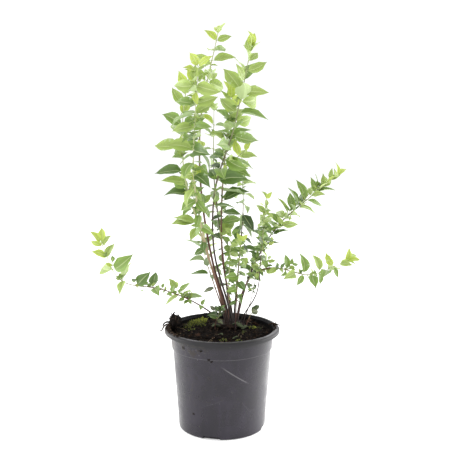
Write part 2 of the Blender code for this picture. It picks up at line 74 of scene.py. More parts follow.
SCRATCHES = (
    ((0.0215, 0, 0.1095), 36, 0.060, 0.0026, 0.60),
    ((-0.012, 0, 0.064), -22, 0.040, 0.0020, 0.10),
    ((0.040, 0, 0.052), 52, 0.030, 0.0015, 0.12),
    ((-0.034, 0, 0.150), 12, 0.026, 0.0012, 0.25),
)
MUD_SPOTS = (
    ((-0.0336, -0.0775, 0.1520), 0.0026, 1.0),
    ((-0.0209, -0.0808, 0.1375), 0.0020, 0.8),
    ((-0.0160, -0.0810, 0.1352), 0.0014, 0.7),
    ((-0.0462, -0.0585, 0.0407), 0.0019, 0.9),
    ((-0.0572, -0.0540, 0.1037), 0.0030, 0.4),
    ((-0.0412, -0.0675, 0.1034), 0.0036, 0.35),
    ((-0.0312, -0.0715, 0.0900), 0.0024, 0.45),
    ((-0.0610, -0.0580, 0.1500), 0.0030, 0.7),
)
LIP_MUD = (-0.050, -0.068, 0.152)
LIP_LOAM = (-0.089, -0.006, 0.167)
WALL_MUD = (-0.045, -0.060, 0.080)
MUD_BROWN = (0.018, 0.012, 0.009)
LOAM_BROWN = (0.062, 0.040, 0.026)
MUD_DARK = (0.0030, 0.0020, 0.0022)
# Painted shade under the lip: the band just below it goes towards near black, fading out over about a
# centimetre.
UNDER_LIP_SHADE = (0.0012, 0.0010, 0.0014)
UNDER_LIP_SHADE_REACH = (0.0030, 0.0110)
# Painted highlight: a patchy pale line along the top of the lip's crest, between these depths below the rim.
CREST_HIGHLIGHT_DROP = (0.0018, 0.0004)
# Pale plastic: the colour of the scratches and grit, and of the painted highlights on the edges.
PLASTIC_PALE = (0.150, 0.142, 0.150)


class Finish:
    """A material being put together: its shader, and the nodes that feed it."""

    def __init__(self, name, colour, roughness, shine=0.5):
        self.material = bpy.data.materials.new(name)
        self.material.use_nodes = True
        self.tree = self.material.node_tree
        self.shader = self.tree.nodes["Principled BSDF"]
        self.shader.inputs["Base Color"].default_value = (*colour, 1)
        self.shader.inputs["Roughness"].default_value = roughness
        self.shader.inputs["Specular IOR Level"].default_value = shine
        self.place = self.node("TexCoord").outputs["Object"]

    def node(self, kind, settings=(), **values):
        """A node. Each value is a number or another node's output, for the input of that name."""
        made = self.tree.nodes.new("ShaderNode" + kind)
        for name, setting in dict(settings).items():
            setattr(made, name, setting)
        for name, value in values.items():
            self.feed(made.inputs[name.replace("_", " ")], value)
        return made

    def feed(self, socket, value):
        if isinstance(value, bpy.types.NodeSocket):
            self.tree.links.new(value, socket)
        else:
            socket.default_value = value

    def reckon(self, operation, one, two=0.0):
        """One step of arithmetic on numbers or on other nodes' outputs."""
        made = self.node("Math", {"operation": operation})
        self.feed(made.inputs[0], one)
        self.feed(made.inputs[1], two)
        return made.outputs[0]

    def times(self, *parts):
        """The product of several numbers or nodes' outputs."""
        product = parts[0]
        for part in parts[1:]:
            product = self.reckon("MULTIPLY", product, part)
        return product

    def plus(self, one, two):
        return self.reckon("ADD", one, two)

    def less(self, one, two):
        return self.reckon("SUBTRACT", one, two)

    def most(self, one, two):
        return self.reckon("MAXIMUM", one, two)

    def gap(self, one, two):
        """How far apart two numbers or nodes' outputs are."""
        return self.reckon("ABSOLUTE", self.less(one, two))

    def parts(self, vector):
        """The X, Y and Z of a vector."""
        return list(self.node("SeparateXYZ", Vector=vector).outputs)

    def cloud(self, scale, detail=4.0, roughness=0.55, place=None):
        """A noise between 0 and 1, in features of one metre divided by scale."""
        made = self.node("TexNoise", Vector=place or self.place, Scale=scale, Detail=detail,
                         Roughness=roughness)
        return made.outputs["Fac"]

    def specks(self, scale):
        """The distance to the nearest of many scattered specks."""
        return self.node("TexVoronoi", Vector=self.place, Scale=scale).outputs["Distance"]

    def step(self, value, low, high):
        """0 below low and 1 above high, with a smooth passage between them."""
        made = self.node("MapRange", {"interpolation_type": "SMOOTHSTEP"}, Value=value,
                         From_Min=low, From_Max=high)
        return made.outputs[0]

    def within(self, value, low, high):
        """1 below low and 0 above high, with a smooth passage between them."""
        return self.less(1, self.step(value, low, high))

    def near(self, spot, inner, outer, stretch=(1, 1, 1)):
        """1 close to a spot and 0 beyond a distance from it, which may differ by direction."""
        moved = self.node("Mapping", Vector=self.place, Scale=stretch,
                          Location=[-part * scale for part, scale in zip(spot, stretch)]).outputs[0]
        away = self.node("VectorMath", {"operation": "LENGTH"}, Vector=moved).outputs["Value"]
        return self.within(away, inner, outer)

    def mix(self, share, one, two):
        """A colour between two, which are plain colours or other nodes' outputs."""
        made = self.node("Mix", {"data_type": "RGBA"})
        for socket, value in zip((made.inputs[0], made.inputs[6], made.inputs[7]), (share, one, two)):
            self.feed(socket, (*value, 1) if isinstance(value, tuple) else value)
        return made.outputs[2]

    def stretched(self, scale):
        """The piece's own place, drawn out by a scale for each direction."""
        return self.node("Mapping", Vector=self.place, Scale=scale).outputs[0]

    def colour(self, value):
        self.feed(self.shader.inputs["Base Color"], value)

    def roughen(self, value, low, high):
        """Roughness between low and high as value goes from 0 to 1."""
        made = self.node("MapRange", Value=value, To_Min=low, To_Max=high)
        self.feed(self.shader.inputs["Roughness"], made.outputs[0])

    def relief(self, height, depth):
        """A bump of that depth in metres."""
        made = self.node("Bump", Height=height, Distance=depth, Strength=1.0)
        self.feed(self.shader.inputs["Normal"], made.outputs[0])


def pot_finish(name, clean, dust, smooth, shine):
    """Moulded plastic with dust in streaks, painted shade under the lip, painted highlights along the lip's
    crest and the band's step, dried mud, scratches and fine grain.
    """
    made = Finish(name, clean, smooth, shine)
    dusty = made.step(made.cloud(26, 7, 0.65), 0.36, 0.78)
    streaks = made.step(made.cloud(1, 5, 0.6, made.stretched((95, 95, 9))), 0.46, 0.82)
    colour = made.mix(made.times(dusty, 0.6), clean, dust)
    colour = made.mix(made.times(streaks, 0.45), colour, dust)
    _, depth, height = made.parts(made.place)
    # Painted shade under the lip, darkest just below it; the same mask also roughens the plastic there.
    under_lip_shade = made.within(made.gap(height, POT_HEIGHT - LIP_DROP), *UNDER_LIP_SHADE_REACH)
    colour = made.mix(made.times(under_lip_shade, 0.85), colour, UNDER_LIP_SHADE)
    # Painted highlights: pale plastic along the step at the band's foot and, in patches, along the lip's
    # crest.
    step_highlight = made.within(made.gap(height, BAND_FOOT), 0.0002, 0.0010)
    crest_highlight = made.times(made.step(height, *[POT_HEIGHT - drop for drop in CREST_HIGHLIGHT_DROP]),
                          made.step(made.cloud(60, 5, 0.7), 0.30, 0.62))
    colour = made.mix(made.times(made.most(step_highlight, crest_highlight), 0.42), colour, PLASTIC_PALE)
    front = made.reckon("LESS_THAN", depth, -0.04)
    for middle, slope, length, width, strength in SCRATCHES:
        line = made.node("Mapping", {"vector_type": "TEXTURE"}, Vector=made.place, Location=middle,
                         Rotation=(0, math.radians(slope), 0)).outputs[0]
        along, _, off = made.parts(line)
        reach = made.within(made.reckon("ABSOLUTE", along), length * 0.2, length * 0.52)
        thin = made.within(made.reckon("ABSOLUTE", off), width * 0.1, width * 0.6)
        colour = made.mix(made.times(reach, thin, front, strength), colour, PLASTIC_PALE)
    lip_dirt = made.near(LIP_MUD, 0.014, 0.048, (1, 1, 2.2))
    wall_dirt = made.times(made.near(WALL_MUD, 0.02, 0.10), 0.55)
    dirty = made.most(lip_dirt, wall_dirt)
    patchy = made.step(made.plus(made.cloud(120, 5, 0.7), made.times(dirty, 0.22)), 0.66, 0.76)
    spotty = made.times(made.within(made.specks(190), 0.12, 0.26), made.step(made.cloud(30, 3), 0.46, 0.56))
    mud = made.most(made.times(patchy, dirty), made.times(spotty, dirty))
    colour = made.mix(made.times(mud, 0.9), colour, MUD_BROWN)
    loam = made.times(made.near(LIP_LOAM, 0.016, 0.052), made.step(made.cloud(260, 5, 0.75), 0.47, 0.56))
    colour = made.mix(made.times(loam, 0.9), colour, LOAM_BROWN)
    mud = made.most(mud, loam)
    ragged = made.times(made.cloud(420, 4, 0.7), 0.0030)
    for spot, size, strength in MUD_SPOTS:
        away = made.node("VectorMath", {"operation": "DISTANCE"}, Vector=made.place)
        away.inputs[1].default_value = spot
        edge = made.plus(away.outputs["Value"], ragged)
        spotted = made.times(made.within(edge, size + 0.0010, size + 0.0022), strength)
        colour = made.mix(spotted, colour, MUD_DARK)
        mud = made.most(mud, spotted)
    grit = made.times(made.within(made.specks(85), 0.045, 0.075),
                      made.step(made.cloud(13, 2), 0.52, 0.60), 0.7)
    made.colour(made.mix(grit, colour, PLASTIC_PALE))
    made.roughen(made.most(made.most(dusty, mud), under_lip_shade), smooth, smooth + 0.24)
    made.relief(made.plus(made.times(made.cloud(700, 3), 0.5), mud), 0.00018)
    return made.material


def in_scene(name, data):
    """An object of that name, at the origin of the scene."""
    made = bpy.data.objects.new(name, data)
    bpy.context.scene.collection.objects.link(made)
    return made


def mesh_from(name, shape):
    """A mesh from a bmesh, which is used up."""
    mesh = bpy.data.meshes.new(name)
    shape.to_mesh(mesh)
    shape.free()
    return mesh


def new_piece(name, shape, finishes, replaced=(), creases=None):
    """A finished piece from a bmesh, riding on the plant's one body."""
    bmesh.ops.recalc_face_normals(shape, faces=shape.faces)
    mesh = mesh_from(name, shape)
    for finish in finishes:
        mesh.materials.append(finish)
    mesh.shade_smooth()
    if creases:
        mesh.set_sharp_from_angle(angle=math.radians(creases))
    made = in_scene(name, mesh)
    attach(made, "root")
    if replaced:
        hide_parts(*replaced)


def spun(profile, rounded, offset):
    """A solid turned about Z from a profile in X and Z whose rounded corners are bevelled."""
    shape = bmesh.new()
    corners = [shape.verts.new((radius, 0, height)) for radius, height in profile]
    for start, end in zip(corners, corners[1:]):
        shape.edges.new((start, end))
    bmesh.ops.bevel(shape, geom=[corners[index] for index in rounded], offset=offset, segments=3,
                    profile=0.5, affect="VERTICES", material=-1)
    bmesh.ops.spin(shape, geom=shape.verts[:] + shape.edges[:], cent=(0, 0, 0), axis=(0, 0, 1),
                   dvec=(0, 0, 0), angle=math.tau, steps=TURNING_STEPS, use_merge=True, use_duplicate=False)
    bmesh.ops.remove_doubles(shape, verts=shape.verts, dist=0.000001)
    bmesh.ops.recalc_face_normals(shape, faces=shape.faces)
    return shape


def cut_notches(shape):
    """The pot with its drain notches cut through the bottom corner."""
    pot = in_scene("pot_uncut", mesh_from("pot_uncut", shape))
    cutters = []
    for index in range(NOTCHES):
        block = bmesh.new()
        bmesh.ops.create_cube(block, size=1)
        bmesh.ops.scale(block, vec=(NOTCH_DEPTH, NOTCH_WIDTH, NOTCH_HEIGHT * 2), verts=block.verts)
        inward = [edge for edge in block.edges
                  if abs(edge.verts[0].co.x - edge.verts[1].co.x) > NOTCH_DEPTH / 2]
        bmesh.ops.bevel(block, geom=inward, offset=NOTCH_HEIGHT * 0.45, segments=4, profile=0.5,
                        affect="EDGES", material=-1)
        bmesh.ops.translate(block, vec=(BASE_RADIUS, 0, 0), verts=block.verts)
        turn = Matrix.Rotation(FIRST_NOTCH + index * math.tau / NOTCHES, 3, "Z")
        bmesh.ops.rotate(block, cent=(0, 0, 0), matrix=turn, verts=block.verts)
        cut = pot.modifiers.new("notch", "BOOLEAN")
        cut.operation = "DIFFERENCE"
        cut.solver = "EXACT"
        cut.object = in_scene("notch", mesh_from("notch", block))
        cutters.append(cut.object)
    bpy.context.view_layer.update()
    done = bmesh.new()
    done.from_mesh(pot.evaluated_get(bpy.context.evaluated_depsgraph_get()).data)
    for thing in cutters + [pot]:
        bpy.data.objects.remove(thing)
    return done


pot_profile = [
    (0, 0),
    (BASE_RADIUS - CORNER, 0),
    (BASE_RADIUS - 0.0008, CORNER * 0.5),
    (BASE_RADIUS, 0.006),
    (WALL_TOP_RADIUS, BAND_FOOT - 0.0003),
    (BAND_FOOT_RADIUS, BAND_FOOT),
    (BAND_TOP_RADIUS, POT_HEIGHT - WALL - 0.0008),
    (LIP_RADIUS - WALL, POT_HEIGHT - LIP_SHOULDER - WALL),
    (LIP_RADIUS - WALL, POT_HEIGHT - LIP_DROP),
    (LIP_RADIUS, POT_HEIGHT - LIP_DROP),
    (LIP_RADIUS, POT_HEIGHT - LIP_SHOULDER),
    (LIP_CREST + 0.0022, POT_HEIGHT),
    (LIP_CREST + 0.0010, POT_HEIGHT - 0.0012),
    (BAND_TOP_RADIUS - WALL, POT_HEIGHT - 0.0068),
    (BAND_FOOT_RADIUS - WALL, BAND_FOOT + WALL),
    (WALL_TOP_RADIUS - WALL, BAND_FOOT + WALL - 0.0003),
    (BASE_RADIUS - WALL, FLOOR + CORNER),
    (BASE_RADIUS - WALL - CORNER, FLOOR),
    (0, FLOOR),
]
pot_shape = cut_notches(spun(pot_profile, (10, 11, 12), LIP_ROUND))
# The inner wall above the compost takes a second, darker and duller copy of the plastic: painted shade, with
# some dirt.
for face in pot_shape.faces:
    middle = face.calc_center_median()
    inward = face.normal.x * middle.x + face.normal.y * middle.y < 0
    face.material_index = 1 if inward and math.hypot(middle.x, middle.y) < LIP_CREST + 0.0008 else 0
new_piece("pot_shell", pot_shape, [
    pot_finish("pot_plastic", clean=(0.0068, 0.0046, 0.0102), dust=(0.0252, 0.0196, 0.0350), smooth=0.20,
               shine=0.42),
    # Painted shade and dirt on the inner wall: darker, rougher and less shiny than the outside.
    pot_finish("pot_inside_shade_and_dirt", clean=(0.0030, 0.0022, 0.0026), dust=(0.0080, 0.0056, 0.0050), smooth=0.70,
               shine=0.1),
], ["pot"], creases=32)


# The compost
# Dark peaty compost, filled to just under the rim and a little mounded, with crumbs, short straws
# and some dry leaf on it. It is one body down to the pot's floor, which the notches show.
COMPOST_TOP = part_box("compost")[1].z
COMPOST_EDGE = 0.1605
LEVEL_RADIUS = 0.040
COMPOST_RADIUS = BAND_TOP_RADIUS - WALL - 0.0010
SURFACE_RINGS = 60
CLEARANCE = 0.0003
WALL_CLEAR = WALL + CLEARANCE
CRUMBLE_LUMPS = ((0.0022, 62), (0.0020, 150), (0.0013, 340))
CRUMBLE_SINK = 0.0004


def compost_height(reach):
    """Height of the compost's surface at a distance from the pot's axis."""
    slope = (COMPOST_TOP - COMPOST_EDGE) / (COMPOST_RADIUS - LEVEL_RADIUS)
    return COMPOST_TOP - slope * max(0.0, reach - LEVEL_RADIUS)


def lumpy(start, lumps, point):
    """A height or share swollen by noise at a point. Each lump is a depth and a scale."""
    return start + sum(depth * noise.noise(point * scale) for depth, scale in lumps)


def crumble(point):
    """How far the compost stands proud of its mean surface at a point."""
    return lumpy(-CRUMBLE_SINK, CRUMBLE_LUMPS, Vector((point.x, point.y, 0)))


def compost_finish():
    made = Finish("compost_crumb", (0.012, 0.008, 0.006), 0.95, 0.06)
    fine = made.step(made.cloud(230, 6, 0.75), 0.42, 0.68)
    colour = made.mix(fine, (0.0022, 0.0014, 0.0012), (0.0110, 0.0066, 0.0046))
    made.colour(made.mix(made.step(made.cloud(110, 5), 0.60, 0.72), colour, (0.026, 0.015, 0.010)))
    made.roughen(made.cloud(240, 3), 0.80, 1.0)
    made.relief(made.cloud(520, 6, 0.75), 0.0016)
    return made.material


rings = [COMPOST_RADIUS * ring / SURFACE_RINGS for ring in range(SURFACE_RINGS + 1)]
surface = [(reach, compost_height(reach)) for reach in rings]
sides = [
    (BAND_FOOT_RADIUS - WALL_CLEAR, BAND_FOOT + WALL + 2 * CLEARANCE),
    (WALL_TOP_RADIUS - WALL_CLEAR, BAND_FOOT + WALL + CLEARANCE),
    (BASE_RADIUS - WALL_CLEAR, FLOOR + CORNER),
    (BASE_RADIUS - WALL_CLEAR - CORNER, FLOOR + CLEARANCE),
    (0, FLOOR + CLEARANCE),
]
compost = spun(surface + sides, (), LIP_ROUND)
for vert in compost.verts:
    reach = math.hypot(vert.co.x, vert.co.y)
    if abs(vert.co.z - compost_height(reach)) < 0.0001 and reach < COMPOST_RADIUS - 0.0005:
        vert.co.z += crumble(vert.co)
new_piece("compost_body", compost, [compost_finish()], ["compost"], creases=50)


# Crumbs, straws and dry leaf on the compost
# Peat crumbs and bits of bark from under a centimetre down to grains, thin dry roots and straws,
# and a few shrivelled leaves of the plant's own. They lie loose where they have fallen.
CRUMBS = 1500
CRUMB_INSET = 0.004
CRUMB_SIZES = (0.0006, 0.0032)
CRUMB_COLOURS = ((0.0030, 0.0020, 0.0017), (0.0090, 0.0055, 0.0040), (0.024, 0.014, 0.009),
                 (0.110, 0.078, 0.052))
CRUMB_SHARES = (46, 36, 15, 3)
CRUMB_SHAPE = ((0.7, 1.3), (0.6, 1.1), (0.45, 0.9))
CRUMB_TILT = 0.7
CRUMB_LUMP = (0.72, 1.2)
RIM_CRUMBS = ((172, 198, 240), (198, 222, 90), (-12, 16, 26), (80, 110, 10))
RIM_CRUMB_SIZES = (0.0006, 0.0021)
STUCK_STRENGTH = 0.7
STUCK_CRUMBS = 9
STUCK_SIZES = (0.0005, 0.0013)
STRAWS = 70
STRAW_INSET = 0.012
STRAW_LIFT = 0.0006
STRAW_LENGTHS = (0.006, 0.022)
STRAW_RADII = (0.00018, 0.00045)
STRAW_RISE = (-0.05, 0.25)
STRAW_TAPER = 0.6
LIP_STRAWS = (
    ((0.0780, 0.018, 0.1680), (0.0860, 0.012, 0.1718), (0.0925, 0.006, 0.1722), (0.0962, 0.001, 0.1700)),
    ((0.0870, 0.008, 0.1712), (0.0893, 0.008, 0.1740), (0.0902, 0.007, 0.1762), (0.0900, 0.006, 0.1778)),
)
LIP_STRAW_RADII = (0.0011, 0.0007)
LIP_TAPER = 0.45
DRY_WIDTH = 0.42
DRY_CURLS = (1.2, 2.4)
DRY_LEAVES = (
    ((0.047, 0.052), 0.0010, 0.016, 40, 0),
    ((0.056, 0.030), 0.0010, 0.014, 160, 0),
    ((-0.012, 0.060), 0.0010, 0.015, 250, 0),
    ((0.022, -0.052), 0.0010, 0.011, 20, 1),
    ((-0.040, -0.036), 0.0010, 0.012, 110, 0),
    ((0.026, 0.000), 0.0045, 0.020, 152, 1),
    ((0.038, -0.004), 0.0020, 0.014, 20, 1),
    ((-0.009, 0.002), 0.0035, 0.016, 205, 1),
    ((-0.002, -0.040), 0.0012, 0.009, 320, 1),
)


def grain_finish(name, colour):
    """A matt finish for loose bits of one colour, mottled a little."""
    made = Finish(name, colour, 0.9, 0.1)
    pale = tuple(min(1, part * 1.7) for part in colour)
    made.colour(made.mix(made.step(made.cloud(420, 4), 0.35, 0.75), colour, pale))
    made.roughen(made.cloud(300, 2), 0.78, 1.0)
    made.relief(made.cloud(900, 4, 0.7), 0.0003)
    return made.material


def polar(radius, angle, height=0.0):
    """The point at a distance and an azimuth from the pot's axis."""
    return Vector((radius * math.cos(angle), radius * math.sin(angle), height))


def scatter(dice, reach):
    """A random point on the compost, within a distance of the pot's axis."""
    angle = dice.uniform(0, math.tau)
    radius = reach * math.sqrt(dice.random())
    return polar(radius, angle, compost_height(radius) + crumble(polar(radius, angle)))


def paint(verts, finish):
    """Gives the faces at some vertices one of their piece's finishes."""
    for face in {face for vert in verts for face in vert.link_faces}:
        face.material_index = finish


def share(index, points):
    """How far along a line of points one of them is, from 0 to 1."""
    return index / (len(points) - 1)


def tapered(thick, loss, line):
    """A radius for each point of a line, falling from thick by a share of it."""
    return [thick * (1 - loss * share(i, line)) for i in range(len(line))]


def tube_shape():
    """An empty bmesh with a UV map."""
    shape = bmesh.new()
    shape.loops.layers.uv.new("UVMap")
    return shape


def add_crumb(shape, dice, place, size, finish):
    """One lump of a few faces, no two alike."""
    verts = bmesh.ops.create_icosphere(shape, subdivisions=1, radius=1)["verts"]
    scale = Vector([dice.uniform(*ends) for ends in CRUMB_SHAPE]) * size
    turn = Matrix.Rotation(dice.uniform(0, math.tau), 3, "Z")
    turn = turn @ Matrix.Rotation(dice.uniform(-CRUMB_TILT, CRUMB_TILT), 3, "X")
    for vert in verts:
        vert.co = place + turn @ (vert.co * scale) * dice.uniform(*CRUMB_LUMP)
    paint(verts, finish)


def tube(shape, line, radii, sides, finish=0, relief=None):
    """A closed tube along a line. Its UV goes round it and from foot to tip."""
    runs = len(line) - 1
    grid = bmesh.ops.create_grid(shape, x_segments=sides, y_segments=runs, size=0.5, calc_uvs=True)["verts"]
    headings = [(line[min(i + 1, runs)] - line[max(i - 1, 0)]).normalized() for i in range(runs + 1)]
    side = headings[0].orthogonal().normalized()
    frames = []
    for heading in headings:
        side = (side - heading * side.dot(heading)).normalized()
        frames.append((side, heading.cross(side)))
    for vert in grid:
        ring = round((vert.co.y + 0.5) * runs)
        turn = round((vert.co.x + 0.5) * sides) % sides
        angle = math.tau * turn / sides
        one, two = frames[ring]
        out = one * math.cos(angle) + two * math.sin(angle)
        radius = radii[ring]
        if relief:
            radius += relief(ring, turn, line[ring] + out * radius)
        vert.co = line[ring] + out * radius
    faces = {face for vert in grid for face in vert.link_faces}
    bmesh.ops.remove_doubles(shape, verts=grid, dist=0.0000001)
    wall = [face for face in faces if face.is_valid]
    ends = list({edge for face in wall for edge in face.edges if edge.is_boundary})
    for face in wall + bmesh.ops.holes_fill(shape, edges=ends, sides=sides)["faces"]:
        face.material_index = finish


def bent_line(dice, start, heading, length, points, wander):
    """A line that wanders off from its heading at random."""
    line = [start]
    for _ in range(points):
        heading = (heading + Vector([dice.uniform(-wander, wander) for _ in range(3)])).normalized()
        line.append(line[-1] + heading * (length / points))
    return line


def rim_spot(dice, low, high):
    """A random point on the lip, between two azimuths in degrees."""
    angle = math.radians(dice.uniform(low, high))
    radius = dice.triangular(BAND_TOP_RADIUS - WALL, LIP_RADIUS - LIP_SHOULDER / 2, LIP_CREST)
    return polar(radius, angle, POT_HEIGHT - max(0.0, LIP_CREST - radius) * 1.5)


crumb_dice = random.Random(11)
crumbs = bmesh.new()
for _ in range(CRUMBS):
    size = crumb_dice.random() ** 3 * (CRUMB_SIZES[1] - CRUMB_SIZES[0]) + CRUMB_SIZES[0]
    finish = crumb_dice.choices(range(len(CRUMB_SHARES)), CRUMB_SHARES)[0]
    add_crumb(crumbs, crumb_dice, scatter(crumb_dice, COMPOST_RADIUS - CRUMB_INSET), size, finish)
crumb_finishes = [grain_finish(f"crumb_{index + 1}", colour) for index, colour in enumerate(CRUMB_COLOURS)]
new_piece("compost_crumbs", crumbs, crumb_finishes)

loam_dice = random.Random(14)
loam = bmesh.new()
for low, high, count in RIM_CRUMBS:
    for _ in range(count):
        spot = rim_spot(loam_dice, low, high)
        add_crumb(loam, loam_dice, spot, loam_dice.uniform(*RIM_CRUMB_SIZES), loam_dice.choice((0, 0, 1)))
for (x, y, z), size, strength in MUD_SPOTS:
    for _ in range(STUCK_CRUMBS if strength >= STUCK_STRENGTH else 0):
        radius = math.hypot(x, y)
        angle = math.atan2(y, x) + loam_dice.uniform(-size, size) * 1.1 / radius
        stuck = polar(radius, angle, z + loam_dice.uniform(-size, size) * 0.8)
        add_crumb(loam, loam_dice, stuck, loam_dice.uniform(*STUCK_SIZES), 0)
new_piece("lip_crumbs", loam, [
    grain_finish("loam_dark", (0.012, 0.008, 0.006)),
    grain_finish("loam_brown", (0.048, 0.032, 0.022)),
])

straw_dice = random.Random(12)
straws = tube_shape()
for _ in range(STRAWS):
    start = scatter(straw_dice, COMPOST_RADIUS - STRAW_INSET) + Vector((0, 0, STRAW_LIFT))
    heading = polar(1, straw_dice.uniform(0, math.tau), straw_dice.uniform(*STRAW_RISE))
    length = straw_dice.uniform(*STRAW_LENGTHS)
    line = bent_line(straw_dice, start, heading, length, points=6, wander=0.30)
    thick = straw_dice.uniform(*STRAW_RADII)
    tube(straws, line, tapered(thick, STRAW_TAPER, line), sides=4, finish=straw_dice.choice((0, 0, 1)))
for knots, thick in zip(LIP_STRAWS, LIP_STRAW_RADII):
    tube(straws, [Vector(knot) for knot in knots], tapered(thick, LIP_TAPER, knots), sides=5)
new_piece("compost_straws", straws, [
    grain_finish("straw_brown", (0.034, 0.020, 0.013)),
    grain_finish("straw_pale", (0.190, 0.145, 0.095)),
])

dry_dice = random.Random(13)
dry_leaves = bmesh.new()
for (x, y), rise, length, turn, finish in DRY_LEAVES:
    verts = bmesh.ops.create_uvsphere(dry_leaves, u_segments=8, v_segments=8, radius=1)["verts"]
    curl = dry_dice.uniform(*DRY_CURLS)
    middle = Vector((x, y, compost_height(math.hypot(x, y)) + rise))
    for vert in verts:
        thick, side, along = vert.co
        across = math.sin(side * curl) / curl * DRY_WIDTH
        lift = (1 - math.cos(side * curl)) / curl * DRY_WIDTH + thick * 0.015 + 0.10 * math.sin(along * 3)
        place = Vector((along * 0.5, across, lift)) * length
        vert.co = Matrix.Rotation(math.radians(turn), 3, "Z") @ place + middle
    paint(verts, finish)
new_piece("dry_leaves", dry_leaves, [
    grain_finish("dry_leaf", (0.034, 0.018, 0.012)),
    grain_finish("fallen_leaf", (0.070, 0.084, 0.050)),
])


# Moss
# Cushions of yellow-green moss that have grown on the compost near the rim: upright shoots a few
# millimetres high, each ringed with narrow pointed leaves.
MOSS_CUSHIONS = (
    (-0.034, 0.044, 0.0080, 0.0150, 80, 1.9),
    (-0.046, 0.034, 0.0105, 0.0095, 70, 0.45),
    (-0.056, 0.018, 0.0100, 0.0060, 46, 0.15),
    (-0.034, 0.020, 0.0070, 0.0050, 24, 0.20),
    (-0.050, -0.004, 0.0060, 0.0040, 18, 0.05),
    (0.050, 0.006, 0.0070, 0.0060, 30, 0.30),
    (0.060, 0.012, 0.0050, 0.0040, 14, 0.05),
    (0.002, -0.058, 0.0055, 0.0035, 18, 0.30),
    (0.027, -0.061, 0.0055, 0.0035, 18, 0.08),
    (0.036, -0.022, 0.0040, 0.0035, 10, 0.0),
)
MOSS_LEAVES = 15
MOSS_LEAF_LENGTHS = (0.0014, 0.0026)
MOSS_LEAF_SHAPE = (0.16, 0.07)
MOSS_TURN = 2.4
MOSS_SINK = 0.0003
MOSS_COLOURS = ((0.560, 0.620, 0.070), (0.190, 0.220, 0.030), (0.036, 0.042, 0.011))


def moss_finish(name, colour):
    made = Finish(name, colour, 0.75)
    shaded = tuple(part * 0.62 for part in colour)
    made.colour(made.mix(made.step(made.cloud(260, 3), 0.35, 0.70), colour, shaded))
    made.roughen(made.cloud(500, 2), 0.6, 0.9)
    return made.material


def add_moss_leaf(shape, root, heading, length, finish):
    """A narrow leaf of three long faces."""
    verts = bmesh.ops.create_cone(shape, cap_ends=True, segments=3, radius1=1, radius2=0, depth=1)["verts"]
    turn = heading.to_track_quat("Z", "Y").to_matrix()
    for vert in verts:
        x, y, z = vert.co
        wide, thick = MOSS_LEAF_SHAPE
        vert.co = root + turn @ Vector((x * length * wide, y * length * thick, (z + 0.5) * length))
    paint(verts, finish)


moss_dice = random.Random(21)
moss = bmesh.new()
for x, y, spread, height, count, bright in MOSS_CUSHIONS:
    for _ in range(count):
        angle, part = moss_dice.uniform(0, math.tau), math.sqrt(moss_dice.random())
        foot = Vector((x + spread * part * math.cos(angle), y + spread * part * math.sin(angle) * 0.8, 0))
        foot.z = compost_height(foot.xy.length) + crumble(foot) - MOSS_SINK
        lean = Vector((math.cos(angle) * part * 0.5, math.sin(angle) * part * 0.5, 1)).normalized()
        stem = height * moss_dice.uniform(0.55, 1.0) * (1 - 0.45 * part)
        young = bright * moss_dice.uniform(0.1, 1.5)
        for index in range(MOSS_LEAVES):
            along = index / MOSS_LEAVES
            out = polar(1, index * MOSS_TURN + angle, 0.5 + 1.3 * along).normalized()
            shares = (young * (0.3 + 2.7 * along), 0.5 + young, max(0.1, 2.0 - young))
            finish = moss_dice.choices(range(3), shares)[0]
            length = moss_dice.uniform(*MOSS_LEAF_LENGTHS)
            add_moss_leaf(moss, foot + lean * stem * along, out, length, finish)
moss_finishes = [moss_finish(f"moss_{index + 1}", colour) for index, colour in enumerate(MOSS_COLOURS)]
new_piece("moss", moss, moss_finishes)


# The root crown
# The low woody knuckle at the middle of the compost from which the strong shoots rise, knobbly with
# old buds and cut stubs, and half sunk in crumbs.
CROWN_LOW, CROWN_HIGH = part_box("root_crown")
CROWN_MIDDLE = (CROWN_LOW + CROWN_HIGH) / 2
CROWN_LUMPS = ((0.26, 3.1), (0.20, 7), (0.08, 17))
CROWN_SINK = 0.0003


def crown_finish():
    made = Finish("crown_bark", (0.03, 0.02, 0.014), 0.9, 0.2)
    worn = made.step(made.cloud(190, 6, 0.75), 0.42, 0.74)
    made.colour(made.mix(worn, (0.0060, 0.0032, 0.0026), (0.060, 0.028, 0.018)))
    made.roughen(made.cloud(200, 2), 0.8, 1.0)
    made.relief(made.cloud(420, 5, 0.7), 0.0012)
    return made.material


crown = bmesh.new()
bmesh.ops.create_icosphere(crown, subdivisions=5, radius=1)
reach = (CROWN_HIGH - CROWN_LOW) / 2
for vert in crown.verts:
    x, y, z = vert.co
    flat = Vector((x * reach.x, y * reach.y, z * reach.z * 1.3)) * lumpy(1, CROWN_LUMPS, vert.co)
    vert.co = CROWN_MIDDLE + flat - Vector((0, 0, CROWN_SINK))
new_piece("root_crown_wood", crown, [crown_finish()], ["root_crown"])


